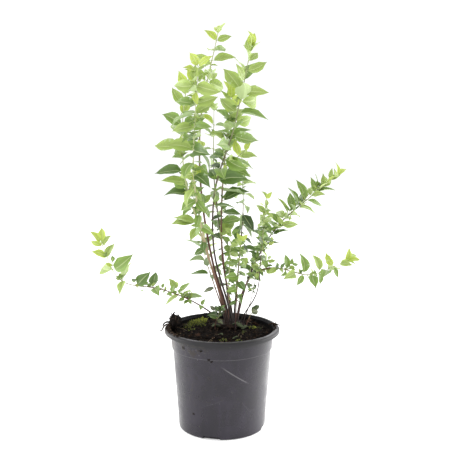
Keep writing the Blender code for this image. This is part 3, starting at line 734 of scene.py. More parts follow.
# The root clod
# A dark clod of roots and compost pushed up against the left of the rim, with a ragged spike, and
# thin roots that curl over the lip and hang outside it.
CLOD_LOW, CLOD_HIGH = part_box("root_clod")
CLOD_MIDDLE = (CLOD_LOW + CLOD_HIGH) / 2
CLOD_REACH = (CLOD_HIGH - CLOD_LOW) / 2
CLOD_LUMPS = ((0.30, 2.1), (0.20, 5), (0.12, 12))
PEAK_PLACE = (-0.0830, 0.013)
PEAK_REACH = 0.0050
PEAK_RISE = 0.0030
CLOD_ROOTS = 44
CLOD_ROOT_LENGTHS = (0.004, 0.010)
CLOD_ROOT_RADII = (0.00020, 0.00055)
CLOD_ROOT_RISE = (-0.1, 1.2)
CLOD_ROOT_TAPER = 0.65
LIP_ROOTS = (
    ((-0.087, 0.006, 0.172), (-0.0925, 0.005, 0.1720), (-0.0970, 0.004, 0.1690), (-0.0990, 0.004, 0.1640),
     (-0.1010, 0.004, 0.1612), (-0.1034, 0.003, 0.1612)),
    ((-0.086, 0.004, 0.172), (-0.0920, 0.003, 0.1725), (-0.0970, 0.002, 0.1700), (-0.1000, 0.001, 0.1650),
     (-0.1010, 0.001, 0.1580), (-0.0995, 0.002, 0.1500), (-0.1000, 0.003, 0.1430)),
    ((-0.086, 0.010, 0.174), (-0.0922, 0.010, 0.1750), (-0.0965, 0.009, 0.1730), (-0.0992, 0.008, 0.1685)),
    ((-0.085, 0.012, 0.176), (-0.0850, 0.012, 0.1815), (-0.0822, 0.012, 0.1865), (-0.0790, 0.012, 0.1915)),
    ((-0.081, 0.014, 0.183), (-0.0835, 0.014, 0.1865), (-0.0850, 0.014, 0.1885), (-0.0880, 0.014, 0.1890)),
)
LIP_ROOT_RADII = (0.0017, 0.0005, 0.0021, 0.0020, 0.0010)


def clod_finish():
    made = Finish("clod_roots", (0.014, 0.010, 0.008), 0.95, 0.2)
    dried = made.step(made.cloud(230, 6, 0.7), 0.42, 0.76)
    made.colour(made.mix(dried, (0.0040, 0.0028, 0.0024), (0.026, 0.016, 0.011)))
    made.roughen(made.cloud(200, 2), 0.8, 1.0)
    made.relief(made.cloud(600, 5, 0.75), 0.0008)
    return made.material


clod = bmesh.new()
bmesh.ops.create_icosphere(clod, subdivisions=5, radius=1)
for vert in clod.verts:
    spot = CLOD_MIDDLE + vert.co * CLOD_REACH * lumpy(0.88, CLOD_LUMPS, vert.co)
    if vert.co.z > 0:
        spot.z += PEAK_RISE * max(0.0, 1 - math.dist(spot.xy, PEAK_PLACE) / PEAK_REACH)
    vert.co = spot
new_piece("root_clod_body", clod, [clod_finish()], ["root_clod"])

root_dice = random.Random(31)
roots = tube_shape()
for _ in range(CLOD_ROOTS):
    angle = root_dice.uniform(0, math.tau)
    rise = root_dice.uniform(*CLOD_ROOT_RISE)
    out = polar(math.cos(rise), angle, math.sin(rise))
    start = CLOD_MIDDLE + out * CLOD_REACH * 0.8
    line = bent_line(root_dice, start, out, root_dice.uniform(*CLOD_ROOT_LENGTHS), points=7, wander=0.55)
    if all(spot.z < compost_height(spot.xy.length) for spot in line):
        continue
    thick = root_dice.uniform(*CLOD_ROOT_RADII)
    tube(roots, line, tapered(thick, CLOD_ROOT_TAPER, line), sides=5, finish=root_dice.choice((0, 0, 1)))
for index, knots in enumerate(LIP_ROOTS):
    points = [Vector(knot) for knot in knots]
    line = [point.lerp(after, step / 4) for point, after in zip(points, points[1:]) for step in range(4)]
    line += points[-1:]
    for _ in range(3):
        line = line[:1] + [(a + b * 2 + c) / 4 for a, b, c in zip(line, line[1:], line[2:])] + line[-1:]
    tube(roots, line, tapered(LIP_ROOT_RADII[index], LIP_TAPER, line), sides=6, finish=int(index == 1))
new_piece("clod_fibres", roots, [
    grain_finish("root_dark", (0.010, 0.007, 0.006)),
    grain_finish("root_tan", (0.075, 0.050, 0.036)),
])


# The limbs
# Young shoots that rise from the root crown and the compost, each one tapering stem. The bark is
# thin and red-brown at the foot, finely cracked and flaking, and green where the wood is new.
GAP = 0.0003
CROWN_PLACE = (0.012, 0.020)
CROWN_REACH = (0.022, 0.019)
CROWN_HEIGHT = 0.004
ROUTE_STEP = 0.004
BEND_POINTS = 24
TIP_SHARE = 0.28
LOW_SHARE = 0.66
LIMB_RING = 0.0022
LIMB_SIDES = 10
LIMB_TAPER = 1.4
FOOT_SUNK = 0.004
FOOT_FLARE = 0.15
FLARE_HEIGHT = 0.006
CRACK_DEPTH = 0.00013
CRACK_GRAIN = (1.3, 0.14, 90)
RIDGE_GRAIN = Vector((900, 900, 240))
RIDGE_SHARE = 0.8
NODE_SWELL = 0.00030
NODE_REACH = 0.0022


class Shoot:
    """One shoot: where it stands and bends, how much of it is bare, and how its leaves sit.

    foot is its place on the crown or compost and knots are the points that it bends through, to its
    tip. bare is the share of its length that is a bare bough, stout the radius at the foot, node
    the distance between leaf pairs, leaf the length of the longest leaf, facing the way the leaves
    turn their upper faces, tones their colours from its foot to its tip, turn the azimuth of the
    lowest pair in degrees, lift how far the leaves turn up, twiggy the chance of side twigs, slender
    the leaves' width against a plain leaf's, low the size of the lowest against the longest, forks
    the side shoots, as share along the mass, azimuth, length and leaf, sprigs the number of short
    sprigs on its lower part, and bark the kind of bark.
    """

    def __init__(self, name, foot, knots, bare, stout, node, leaf, seed, facing, tones, turn=0,
                 lift=0.0, twiggy=0.0, slender=1.0, low=LOW_SHARE, forks=(), sprigs=0, bark="brown"):
        self.name = name
        on_crown = math.hypot((foot[0] - CROWN_PLACE[0]) / CROWN_REACH[0],
                              (foot[1] - CROWN_PLACE[1]) / CROWN_REACH[1]) < 1
        ground = COMPOST_TOP + (CROWN_HEIGHT + GAP if on_crown else 0)
        self.knots = [Vector((*foot, ground + GAP))] + [Vector(knot) for knot in knots]
        self.node = node
        self.leaf = leaf
        self.seed = seed
        self.turn = math.radians(turn)
        self.lift = Vector((0, 0, lift))
        self.twiggy = twiggy
        self.facing = Vector(facing)
        self.slender = slender
        self.low = low
        self.forks = forks
        self.sprigs = sprigs
        self.bark = bark
        self.tones = tones
        self.route = smooth_route(self.knots)
        self.radii = tapered(stout, 1 - TIP_SHARE, self.route)
        self.split = round(bare * (len(self.route) - 1))


def spaced(points, step):
    """The same line with its points at an even spacing close to step."""
    reaches = [0.0]
    for start, end in zip(points, points[1:]):
        reaches.append(reaches[-1] + (end - start).length)
    count = max(2, round(reaches[-1] / step))
    line = []
    piece = 0
    for index in range(count + 1):
        reach = reaches[-1] * index / count
        while piece < len(points) - 2 and reaches[piece + 1] < reach:
            piece += 1
        part = (reach - reaches[piece]) / (reaches[piece + 1] - reaches[piece])
        line.append(points[piece].lerp(points[piece + 1], part))
    return line


def smooth_route(knots):
    """One smooth curve through the knots, steep at its foot."""
    runs = [end - start for start, end in zip(knots, knots[1:])]
    slopes = [Vector((runs[0].x / 2, runs[0].y / 2, runs[0].z)).normalized()]
    slopes += [(one.normalized() + two.normalized()).normalized() for one, two in zip(runs, runs[1:])]
    slopes.append(runs[-1].normalized())
    curve = [knots[0]]
    for start, end, leaving, arriving in zip(knots, knots[1:], slopes, slopes[1:]):
        pull = (end - start).length / 3
        handles = (start + leaving * pull, end - arriving * pull)
        curve += geometry.interpolate_bezier(start, *handles, end, BEND_POINTS)[1:]
    return spaced(curve, ROUTE_STEP)


def frame_at(heading):
    """Two directions square to a stem: across the plant's front, and towards its back."""
    across = Vector((0, 1, 0)).cross(heading).normalized()
    return across, heading.cross(across)


# The tall shoots, from left to right, then those hidden behind them
SHOOTS = [
    Shoot("tall_far_left", foot=(0.006, 0.022), bare=0.30, stout=0.0017, node=0.023, leaf=0.052, seed=437,
          knots=((-0.034, 0.020, 0.320), (-0.061, 0.014, 0.420), (-0.063, 0.010, 0.510),
                 (-0.057, 0.008, 0.561)),
          turn=185, lift=0.4, facing=(-0.3, -0.6, 0.6),
          forks=((0.40, 320, 0.020, 0.047), (0.16, 260, 0.028, 0.052)), bark="pale", tones=(2.6, 4.6)),
    Shoot("tall_left", foot=(0.010, 0.009), bare=0.32, stout=0.0018, node=0.023, leaf=0.050, seed=253,
          knots=((-0.022, -0.006, 0.290), (-0.044, -0.030, 0.417), (-0.041, -0.046, 0.523),
                 (-0.036, -0.056, 0.593)),
          turn=55, facing=(-0.2, -0.7, 0.6),
          forks=((0.86, 260, 0.028, 0.045),), bark="pale", tones=(2.6, 4.5)),
    Shoot("tallest", foot=(0.012, 0.029), bare=0.28, stout=0.0021, node=0.024, leaf=0.052, seed=38,
          knots=((-0.016, 0.033, 0.273), (-0.035, 0.046, 0.392), (-0.035, 0.058, 0.511),
                 (-0.007, 0.066, 0.648)),
          turn=20, lift=-0.2, facing=(0, -0.5, 0.8),
          forks=((0.18, 200, 0.028, 0.047),), tones=(2.4, 4.6)),
    Shoot("tall_middle", foot=(0.018, 0.026), bare=0.20, stout=0.0019, node=0.020, leaf=0.050, seed=1678,
          knots=((0.001, 0.029, 0.280), (0.000, 0.034, 0.385), (0.017, 0.038, 0.549)),
          turn=15, lift=0.4, twiggy=0.12, facing=(0.1, -0.5, 0.8),
          forks=((0.38, 80, 0.080, 0.045), (0.26, 320, 0.080, 0.045), (0.21, 260, 0.028, 0.045)),
          tones=(2.3, 4.4)),
    Shoot("tall_right", foot=(0.017, 0.009), bare=0.32, stout=0.0018, node=0.022, leaf=0.050, seed=82,
          knots=((-0.013, -0.002, 0.299), (-0.011, -0.014, 0.399), (0.018, -0.028, 0.496),
                 (0.045, -0.040, 0.622)),
          turn=-15, lift=0.4, facing=(0.2, -0.7, 0.6),
          forks=((0.40, 0, 0.045, 0.031),), bark="dark", tones=(2.2, 4.7)),
    Shoot("tall_back_left", foot=(0.013, 0.036), bare=0.28, stout=0.0017, node=0.028, leaf=0.046, seed=2082,
          knots=((0.000, 0.062, 0.290), (-0.014, 0.090, 0.410), (-0.014, 0.104, 0.520)),
          turn=95, lift=-0.2, twiggy=0.06, facing=(-0.2, -0.2, 0.9), bark="dark", tones=(1.6, 4.6)),
    Shoot("tall_back_right", foot=(0.020, 0.033), bare=0.26, stout=0.0015, node=0.021, leaf=0.044, seed=1916,
          knots=((0.030, 0.064, 0.280), (0.036, 0.088, 0.350), (0.034, 0.098, 0.440)),
          turn=30, lift=-0.2, twiggy=0.06, facing=(0.2, -0.2, 0.9), bark="dark", tones=(1.6, 4.6)),
    # The low arching shoots
    Shoot("right_arching", foot=(0.023, 0.020), bare=0.24, stout=0.0015, node=0.012, leaf=0.036, seed=430,
          knots=((0.047, 0.028, 0.252), (0.090, 0.032, 0.330), (0.149, 0.034, 0.384), (0.190, 0.034, 0.418)),
          turn=105, lift=0.8, twiggy=0.2, facing=(0.2, -0.6, 0.7), slender=0.8, low=0.50, sprigs=8,
          bark="dark", tones=(2.6, 4.3)),
    Shoot("low_right", foot=(0.024, 0.012), bare=0.36, stout=0.0013, node=0.016, leaf=0.040, seed=3144,
          knots=((0.045, 0.008, 0.248), (0.079, 0.004, 0.268), (0.144, -0.006, 0.259),
                 (0.205, -0.014, 0.285)),
          turn=90, facing=(0, -0.8, 0.6), low=0.35, forks=((0.10, 100, 0.018, 0.036),), sprigs=10,
          tones=(2.6, 4.4)),
    Shoot("low_left", foot=(-0.002, 0.017), bare=0.22, stout=0.0013, node=0.030, leaf=0.044, seed=1552,
          knots=((-0.041, 0.012, 0.205), (-0.098, 0.002, 0.232), (-0.166, -0.006, 0.250),
                 (-0.196, -0.010, 0.314)),
          turn=240, lift=0.4, facing=(0, -0.8, 0.6), slender=1.1, low=0.30,
          forks=((0.07, 100, 0.030, 0.040),), sprigs=22, tones=(2.8, 4.3)),
    Shoot("low_back_right", foot=(0.026, 0.027), bare=0.30, stout=0.0013, node=0.022, leaf=0.036, seed=1521,
          knots=((0.045, 0.075, 0.235), (0.066, 0.126, 0.285), (0.078, 0.165, 0.330)),
          turn=75, lift=0.4, twiggy=0.08, facing=(0.2, -0.1, 0.9), tones=(1.6, 4.6)),
    Shoot("low_back_left", foot=(0.005, 0.033), bare=0.30, stout=0.0013, node=0.016, leaf=0.038, seed=1737,
          knots=((-0.015, 0.080, 0.225), (-0.030, 0.125, 0.260), (-0.038, 0.160, 0.300)),
          turn=180, lift=0.6, twiggy=0.08, facing=(-0.2, -0.1, 0.9), tones=(1.6, 4.6)),
    # The short shoots between them
    Shoot("right_upright", foot=(0.030, 0.013), bare=0.42, stout=0.0011, node=0.018, leaf=0.026, seed=3450,
          knots=((0.057, -0.004, 0.228), (0.063, -0.020, 0.294), (0.070, -0.032, 0.388)),
          turn=150, lift=0.2, twiggy=0.15, facing=(0.4, -0.6, 0.6), low=0.50,
          bark="dark", tones=(2.2, 4.2)),
    Shoot("right_sucker", foot=(0.034, 0.006), bare=0.50, stout=0.0008, node=0.012, leaf=0.014, seed=1355,
          knots=((0.048, -0.006, 0.218), (0.058, -0.024, 0.284)), lift=0.2, facing=(0, -0.7, 0.6),
          bark="dark", tones=(1.8, 4.0)),
    Shoot("middle_sucker", foot=(0.011, 0.017), bare=0.26, stout=0.0010, node=0.011, leaf=0.028, seed=999,
          knots=((0.011, 0.012, 0.237), (0.015, 0.004, 0.325)), lift=-0.2, facing=(0, -0.7, 0.6),
          bark="pale", tones=(2.2, 4.0)),
    Shoot("front_sucker", foot=(0.022, -0.005), bare=0.30, stout=0.0010, node=0.011, leaf=0.028, seed=469,
          knots=((0.025, -0.014, 0.240), (0.031, -0.024, 0.318)), turn=45, lift=0.2,
          facing=(0.2, -0.7, 0.6), tones=(2.2, 4.2)),
    Shoot("foot_sucker_left", foot=(-0.012, -0.001), bare=0.35, stout=0.0008, node=0.008, leaf=0.022,
          seed=918, knots=((-0.009, -0.008, 0.184), (-0.003, -0.014, 0.201)), turn=150, lift=0.4,
          facing=(0, -0.7, 0.6), slender=1.1, tones=(0.2, 1.2)),
    Shoot("foot_sucker_right", foot=(0.040, 0.010), bare=0.35, stout=0.0008, node=0.009, leaf=0.020, seed=319,
          knots=((0.045, 0.008, 0.182), (0.053, 0.006, 0.198)), turn=285, lift=0.4,
          facing=(0, -0.7, 0.6), slender=1.6, tones=(0.0, 1.0)),
]


# Each kind of bark: its colours from foot to tip, and where along the shoot each after the first is
BARKS = {
    "brown": (((0.028, 0.008, 0.006), (0.098, 0.032, 0.018), (0.150, 0.088, 0.050), (0.350, 0.380, 0.180)),
              (0.26, 0.52, 0.84)),
    "dark": (((0.013, 0.006, 0.006), (0.032, 0.015, 0.012), (0.085, 0.056, 0.038), (0.300, 0.330, 0.160)),
             (0.26, 0.55, 0.88)),
    "pale": (((0.046, 0.014, 0.009), (0.170, 0.075, 0.042), (0.440, 0.400, 0.230), (0.460, 0.500, 0.270)),
             (0.20, 0.42, 0.80)),
}
FOOT_SOIL = (0.011, 0.006, 0.005)


def bark_finish(name, colours, turns):
    """Bark that goes through its colours from foot to tip, streaked and flecked along the stem."""
    made = Finish(name, colours[0], 0.7)
    round_stem, along, _ = made.parts(made.node("TexCoord").outputs["UV"])
    angle = made.times(round_stem, math.tau)
    round_place = made.node("CombineXYZ", X=made.reckon("COSINE", angle), Y=made.reckon("SINE", angle),
                            Z=made.times(along, 22)).outputs[0]
    streak = made.cloud(2.6, 5, 0.65, round_place)
    ramp = made.node("ValToRGB", Fac=made.plus(along, made.times(made.less(streak, 0.5), 0.34)))
    stops = ramp.color_ramp.elements
    for position, colour in zip(turns, colours[1:3]):
        stops.new(position).color = (*colour, 1)
    stops[0].color = (*colours[0], 1)
    stops[3].color = (*colours[3], 1)
    stops[3].position = turns[2]
    flecks = made.step(made.cloud(520, 3), 0.62, 0.70)
    woody = made.within(along, 0.25, 0.65)
    colour = made.mix(made.times(flecks, woody, 0.45), ramp.outputs[0], (0.170, 0.115, 0.085))
    made.colour(made.mix(made.times(made.within(along, 0.02, 0.10), 0.72), colour, FOOT_SOIL))
    made.roughen(streak, 0.50, 0.80)
    made.relief(made.cloud(5.2, 5, 0.7, round_place), 0.00035)
    return made.material


def limb_line(shoot):
    """The limb's line from under the compost to its tip, with the radius at each point."""
    line = spaced(shoot.route, LIMB_RING)
    foot, *_, tip = shoot.radii
    flared = [(foot + (tip - foot) * share(i, line) ** LIMB_TAPER)
              * (1 + FOOT_FLARE * math.exp(-(point.z - line[0].z) / FLARE_HEIGHT))
              for i, point in enumerate(line)]
    return [line[0] - Vector((0, 0, FOOT_SUNK))] + line, [flared[0]] + flared


def place_on(line, along):
    """The point at a share of a line's length, and the line's direction there."""
    runs = [end - start for start, end in zip(line, line[1:])]
    left = along * sum(run.length for run in runs)
    for start, run in zip(line, runs):
        if left <= run.length:
            break
        left -= run.length
    return start + run.normalized() * min(left, run.length), run.normalized()


# How leaves and side twigs grow
# Leaves stand in pairs, each pair square to the one below, and a side twig may leave the stem above
# a leaf. Every shoot keeps to its own space, and all of its draws come from its own seed.
TWIG_STEP = 0.020
SPACE_MARGIN = 0.0012
RIM_MARGIN = 0.003
GROUND_MARGIN = 0.0025
TWIG_RUNS = 3
TWIG_LEAN = 0.9
TWIG_LIFT = 0.22
TWIG_NODE = 0.014
TWIG_REACHES = (0.028, 0.046)
TWIG_TOP = 0.8
FIRST_NODE = 0.5
LAST_NODE = 0.2
LOW_SPACING = 1.08
CLOSING = 0.45
LOW_RISE = -0.28
RISE_GAIN = 1.1
TIP_RISE = 0.9
TIP_TUCK = 0.0005
AZIMUTH_SWING = 0.4
RISE_SWING = 0.35
ROLL_SWING = 0.7
LIGHT_HEADING = 0.25
LEAF_SIZES = (0.8, 1.08)
TIP_SHORTENING = (0.50, 2.0)
TWIG_LEAF = 0.55
TIP_LEAF = 0.58
HANGING_LOSS = 0.45
LEAF_TRIES = ((0, 1), (0.4, 1), (-0.4, 1), (0, 0.75), (0.6, 0.75), (-0.6, 0.75), (0, 0.55))
LEAF_SHOULDERS = ((0.64, 0.215), (0.27, 0.260))
LEAF_MIDDLE = 0.45
LEAF_FOLD = 0.18
LEAF_DROOP = 0.20
LEAF_SINK = 0.0002
CLOD_PLACE = (-0.0775, 0.013)
CLOD_TOP = 0.186
CLOD_CLEAR = 0.020
SPRIG_SEED = 50000
SPRIG_CHANCE = 0.30
SPRIG_YOUNGEST = 0.86
SPRIG_LEAN = 0.7
SPRIG_LIFT = 0.3
SPRIG_BEND = 0.2
SPRIG_PAIRS = (0.55, 1.0)
SPRIG_RISE = (0.25, 0.5)
SPRIG_SWING = 0.2
SPRIG_ROLL = 0.4
SPRIG_SIZES = (0.75, 1.0)
SPRIG_YOUTH = (0.5, 0.35)
SPRIG_LENGTHS = (0.006, 0.016)
SPRIG_LEAVES = (0.008, 0.015)
LOW_SPRIG_LENGTHS = (0.003, 0.007)
LOW_SPRIG_LEAVES = (0.010, 0.018)
LOW_SPRIG_YOUNG = 0.2
SPRIG_SPAN = 0.62


class Spaces:
    """Tells whose space a point lies in: the shoot whose surface is clearly the nearest."""

    def __init__(self, shoots):
        self.points = np.array([point for shoot in shoots for point in shoot.route])
        self.radii = np.array([radius for shoot in shoots for radius in shoot.radii])
        self.owners = np.array([i for i, shoot in enumerate(shoots) for _ in shoot.route])
        self.limbs = np.array([step <= shoot.split for shoot in shoots for step in range(len(shoot.route))])

    def holds(self, owner, point):
        if not clear_of_pot(point):
            return False
        gaps = np.linalg.norm(self.points - np.array(point), axis=1) - self.radii
        if gaps[self.limbs].min() < SPACE_MARGIN:
            return False
        mine = self.owners == owner
        return gaps[mine].min() < gaps[~mine].min() - SPACE_MARGIN


def clear_of_pot(point):
    """Whether a point is above the compost, the rim and the root clod, or well outside the pot."""
    reach = math.hypot(point.x, point.y)
    if reach > LIP_RADIUS + RIM_MARGIN:
        return True
    clod_gap = (point.xy - Vector(CLOD_PLACE)).length
    if clod_gap < CLOD_CLEAR and point.z < CLOD_TOP + RIM_MARGIN:
        return False
    ground = POT_HEIGHT if reach > COMPOST_RADIUS - RIM_MARGIN else COMPOST_TOP + CROWN_HEIGHT
    return point.z > ground + GROUND_MARGIN


def leaf_surface(along, side):
    """Height of the leaf's face: folded up from its midrib, with a drooping tip."""
    return LEAF_FOLD * abs(side) - LEAF_DROOP * along * along


LEAF_MARKS = [(along, side * half, leaf_surface(along, half))
              for along, half in LEAF_SHOULDERS for side in (-1, 1)]
LEAF_MARKS += [(along, 0, leaf_surface(along, 0)) for along in (LEAF_MIDDLE, 0.8, 1)]


def leaf_place(spot, along_leaf, heading, shoot, roll, length):
    """The matrix that sets a leaf of length 1 at its spot, its upper face turned to the light."""
    light = heading * LIGHT_HEADING + shoot.facing
    upper = (light - along_leaf * light.dot(along_leaf)).normalized()
    upper = Matrix.Rotation(roll, 3, along_leaf) @ upper
    side = upper.cross(along_leaf)
    turned = Matrix((along_leaf, side, upper)).transposed().to_4x4()
    size = Matrix.Diagonal((length, length * shoot.slender, length, 1))
    return Matrix.Translation(spot - along_leaf * LEAF_SINK) @ turned @ size


# Where a leaf sits, its length, and how young it is, from 0 at a shoot's foot to 1 at a tip
Leaf = namedtuple("Leaf", "place heading length young")


class Growth:
    """The leaves and twigs of one mass, kept to its own space."""

    def __init__(self, shoot, owner, spaces):
        self.shoot = shoot
        self.owner = owner
        self.spaces = spaces
        self.dice = random.Random(shoot.seed)
        foot, *beyond = shoot.route[shoot.split:]
        self.stem = spaced([foot + (beyond[0] - foot).normalized() * GAP] + beyond, TWIG_STEP)
        self.twigs = []
        self.leaves = []
        self.pairs = []
        self.clothe(self.stem, shoot.node, shoot.leaf, shoot.turn, shoot.low, shoot.twiggy, 0.0)
        for along, azimuth, length, leaf in shoot.forks:
            spot, heading = place_on(self.stem, along)
            self.branch(spot, heading, math.radians(azimuth), length, leaf, along)
        self.sprout_sprigs()

    def swing(self, reach):
        return self.dice.uniform(-reach, reach)

    def clothe(self, line, node, leaf, turn, low, twiggy, young):
        """Leaf pairs along a twig, each pair square to the one below, and side twigs by chance."""
        length = sum((end - start).length for start, end in zip(line, line[1:]))
        travel = node * FIRST_NODE
        pair = 0
        while travel < length - node * LAST_NODE:
            along = travel / length
            spot, heading = place_on(line, along)
            self.pairs.append(spot)
            shortest, gain = TIP_SHORTENING
            size = leaf * min(low + along, 1, shortest + gain * (1 - along))
            for side in (0, math.pi):
                azimuth = turn + pair * math.pi / 2 + side + self.swing(AZIMUTH_SWING)
                rise = LOW_RISE + RISE_GAIN * along ** 3 + self.swing(RISE_SWING)
                roll = self.swing(ROLL_SWING)
                scale = self.dice.uniform(*LEAF_SIZES)
                sprout = self.dice.random()
                reach = self.dice.uniform(*TWIG_REACHES)
                self.leaf(spot, heading, azimuth, rise, roll, size * scale, young + (1 - young) * along)
                if sprout < twiggy * (TWIG_TOP - along):
                    self.branch(spot, heading, azimuth, reach, leaf * TWIG_LEAF, along)
            travel += node * (LOW_SPACING - CLOSING * along)
            pair += 1
        spot, heading = place_on(line, 1 - TIP_TUCK / length)
        for side in (0, math.pi):
            self.leaf(spot, heading, turn + pair * math.pi / 2 + side, TIP_RISE, 0, leaf * TIP_LEAF, 1.0)

    def branch(self, spot, heading, azimuth, length, leaf, young):
        """A side twig that leaves the stem at half a right angle and turns upwards."""
        across, deep = frame_at(heading)
        out = (across * math.cos(azimuth) + deep * math.sin(azimuth) + heading * TWIG_LEAN).normalized()
        line = [spot]
        for _ in range(TWIG_RUNS):
            line.append(line[-1] + out * (length / TWIG_RUNS))
            out = (out + Vector((0, 0, TWIG_LIFT))).normalized()
        if all(self.spaces.holds(self.owner, point) for point in line[1:]):
            self.twigs.append(line)
            self.clothe(line, TWIG_NODE, leaf, azimuth, LOW_SHARE, 0.0, (young + 1) / 2)

    def leaf(self, spot, heading, azimuth, rise, roll, length, young):
        """One leaf, turned round its twig or made shorter where its space is narrow."""
        across, deep = frame_at(heading)
        for turn, scale in LEAF_TRIES:
            out = across * math.cos(azimuth + turn) + deep * math.sin(azimuth + turn)
            along_leaf = (out * math.cos(rise) + heading * math.sin(rise) + self.shoot.lift).normalized()
            hanging = 1 - HANGING_LOSS * max(0.0, -along_leaf.z)
            place = leaf_place(spot, along_leaf, heading, self.shoot, roll, length * scale * hanging)
            if all(self.spaces.holds(self.owner, place @ Vector(mark)) for mark in LEAF_MARKS):
                self.leaves.append(Leaf(place, heading, length * scale * hanging, young))
                return

    def sprout_sprigs(self):
        """Finer twigs: in some axils a short sprig with a pair or two of small young leaves."""
        dice = random.Random(self.shoot.seed + SPRIG_SEED)
        for parent in list(self.leaves):
            if dice.random() > SPRIG_CHANCE or parent.young > SPRIG_YOUNGEST:
                continue
            outward = (parent.place.to_3x3() @ Vector((1, 0, 0))).normalized()
            self.sprig(dice, parent.place.translation.copy(), outward, parent.heading, parent.young)
        for index in range(self.shoot.sprigs):
            along = SPRIG_SPAN * (index + dice.random()) / self.shoot.sprigs
            spot, heading = place_on(self.shoot.route, along)
            across, deep = frame_at(heading)
            angle = dice.uniform(0, math.tau)
            outward = across * math.cos(angle) + deep * math.sin(angle)
            self.sprig(dice, spot, outward, heading, LOW_SPRIG_YOUNG, LOW_SPRIG_LENGTHS, LOW_SPRIG_LEAVES,
                       pairs=(1.0,))

    def sprig(self, dice, spot, outward, heading, young, lengths=SPRIG_LENGTHS, leaves=SPRIG_LEAVES,
              pairs=SPRIG_PAIRS):
        """One short sprig with pairs of small leaves along it, where there is room for it."""
        out = (outward * SPRIG_LEAN + heading + Vector((0, 0, SPRIG_LIFT))).normalized()
        length = dice.uniform(*lengths)
        tip = (out + Vector((0, 0, SPRIG_BEND))).normalized() * length
        line = [spot, spot + out * length * 0.5, spot + tip]
        if not all(self.spaces.holds(self.owner, point) for point in line[1:]):
            return
        self.twigs.append(line)
        size = dice.uniform(*leaves)
        turn = dice.uniform(0, math.pi)
        start, gain = SPRIG_RISE
        share_kept, youth = SPRIG_YOUTH
        for pair, part in enumerate(pairs):
            for side in (0, math.pi):
                azimuth = turn + pair * math.pi / 2 + side
                rise = start + gain * pair + dice.uniform(-SPRIG_SWING, SPRIG_SWING)
                point, direction = place_on(line, part)
                self.leaf(point, direction, azimuth, rise, dice.uniform(-SPRIG_ROLL, SPRIG_ROLL),
                          size * dice.uniform(*SPRIG_SIZES), young * share_kept + youth)


spaces = Spaces(SHOOTS)
growths = [Growth(shoot, owner, spaces) for owner, shoot in enumerate(SHOOTS)]

# The limbs themselves, whose bark swells where the leaf pairs stand
bark_finishes = {kind: bark_finish("bark_" + kind, *bark) for kind, bark in BARKS.items()}
for growth in growths:
    shoot = growth.shoot
    line, radii = limb_line(shoot)
    nodes = np.array(growth.pairs)

    def bark_relief(ring, turn, point, line=line, nodes=nodes):
        """Cracks that run along the stem, deeper in old wood, and a swelling at each leaf pair."""
        old = 1 - ring / len(line)
        place = (turn, ring, nodes[0][0])
        crack = noise.noise(Vector([part * scale for part, scale in zip(place, CRACK_GRAIN)]))
        ridge = noise.noise(point * RIDGE_GRAIN)
        swell = math.exp(-(float(np.linalg.norm(nodes - np.array(point), axis=1).min()) / NODE_REACH) ** 2)
        return CRACK_DEPTH * old * (crack + RIDGE_SHARE * ridge) + NODE_SWELL * swell

    limb = tube_shape()
    tube(limb, line, radii, LIMB_SIDES, relief=bark_relief)
    new_piece("limb_" + shoot.name, limb, [bark_finishes[shoot.bark]],
              ["bough_" + shoot.name, "foliage_" + shoot.name], creases=70)


# The side twigs, leaf stalks and buds
# This year's growth: thin green twigs, the short stalk of each leaf, which leaves the stem along it
# and bends out, and a small pointed bud in some of the axils.
TWIG_SEED = 70000
TWIG_RING = 0.0035
TWIG_RADII = (0.0008, 0.0005)
SPRIG_RADII = (0.00055, 0.00032)
STALK_SHARE = 0.10
STALK_SEAT = (STALK_SHARE * 1.15, 0, -0.002)
STALK_RADIUS = 0.00048
STALK_TAPER = (1.25, 1.0, 0.8)
STALK_LIMITS = (0.5, 1.2)
GREEN_AGE = 0.55
GREEN_SWING = 0.15
PLAIN_LEAF = 0.040
BUD_CHANCE = 0.30
BUD_SIZES = (0.0020, 0.0034)
BUD_WIDTH = 0.22
TWIG_TONES = ((0.190, 0.130, 0.070), (0.270, 0.300, 0.120), (0.400, 0.500, 0.160))


def twig_finish(name, colour):
    made = Finish(name, colour, 0.5)
    shaded = tuple(part * 0.74 for part in colour)
    made.colour(made.mix(made.step(made.cloud(330, 3), 0.35, 0.70), colour, shaded))
    made.roughen(made.cloud(260, 2), 0.42, 0.62)
    return made.material


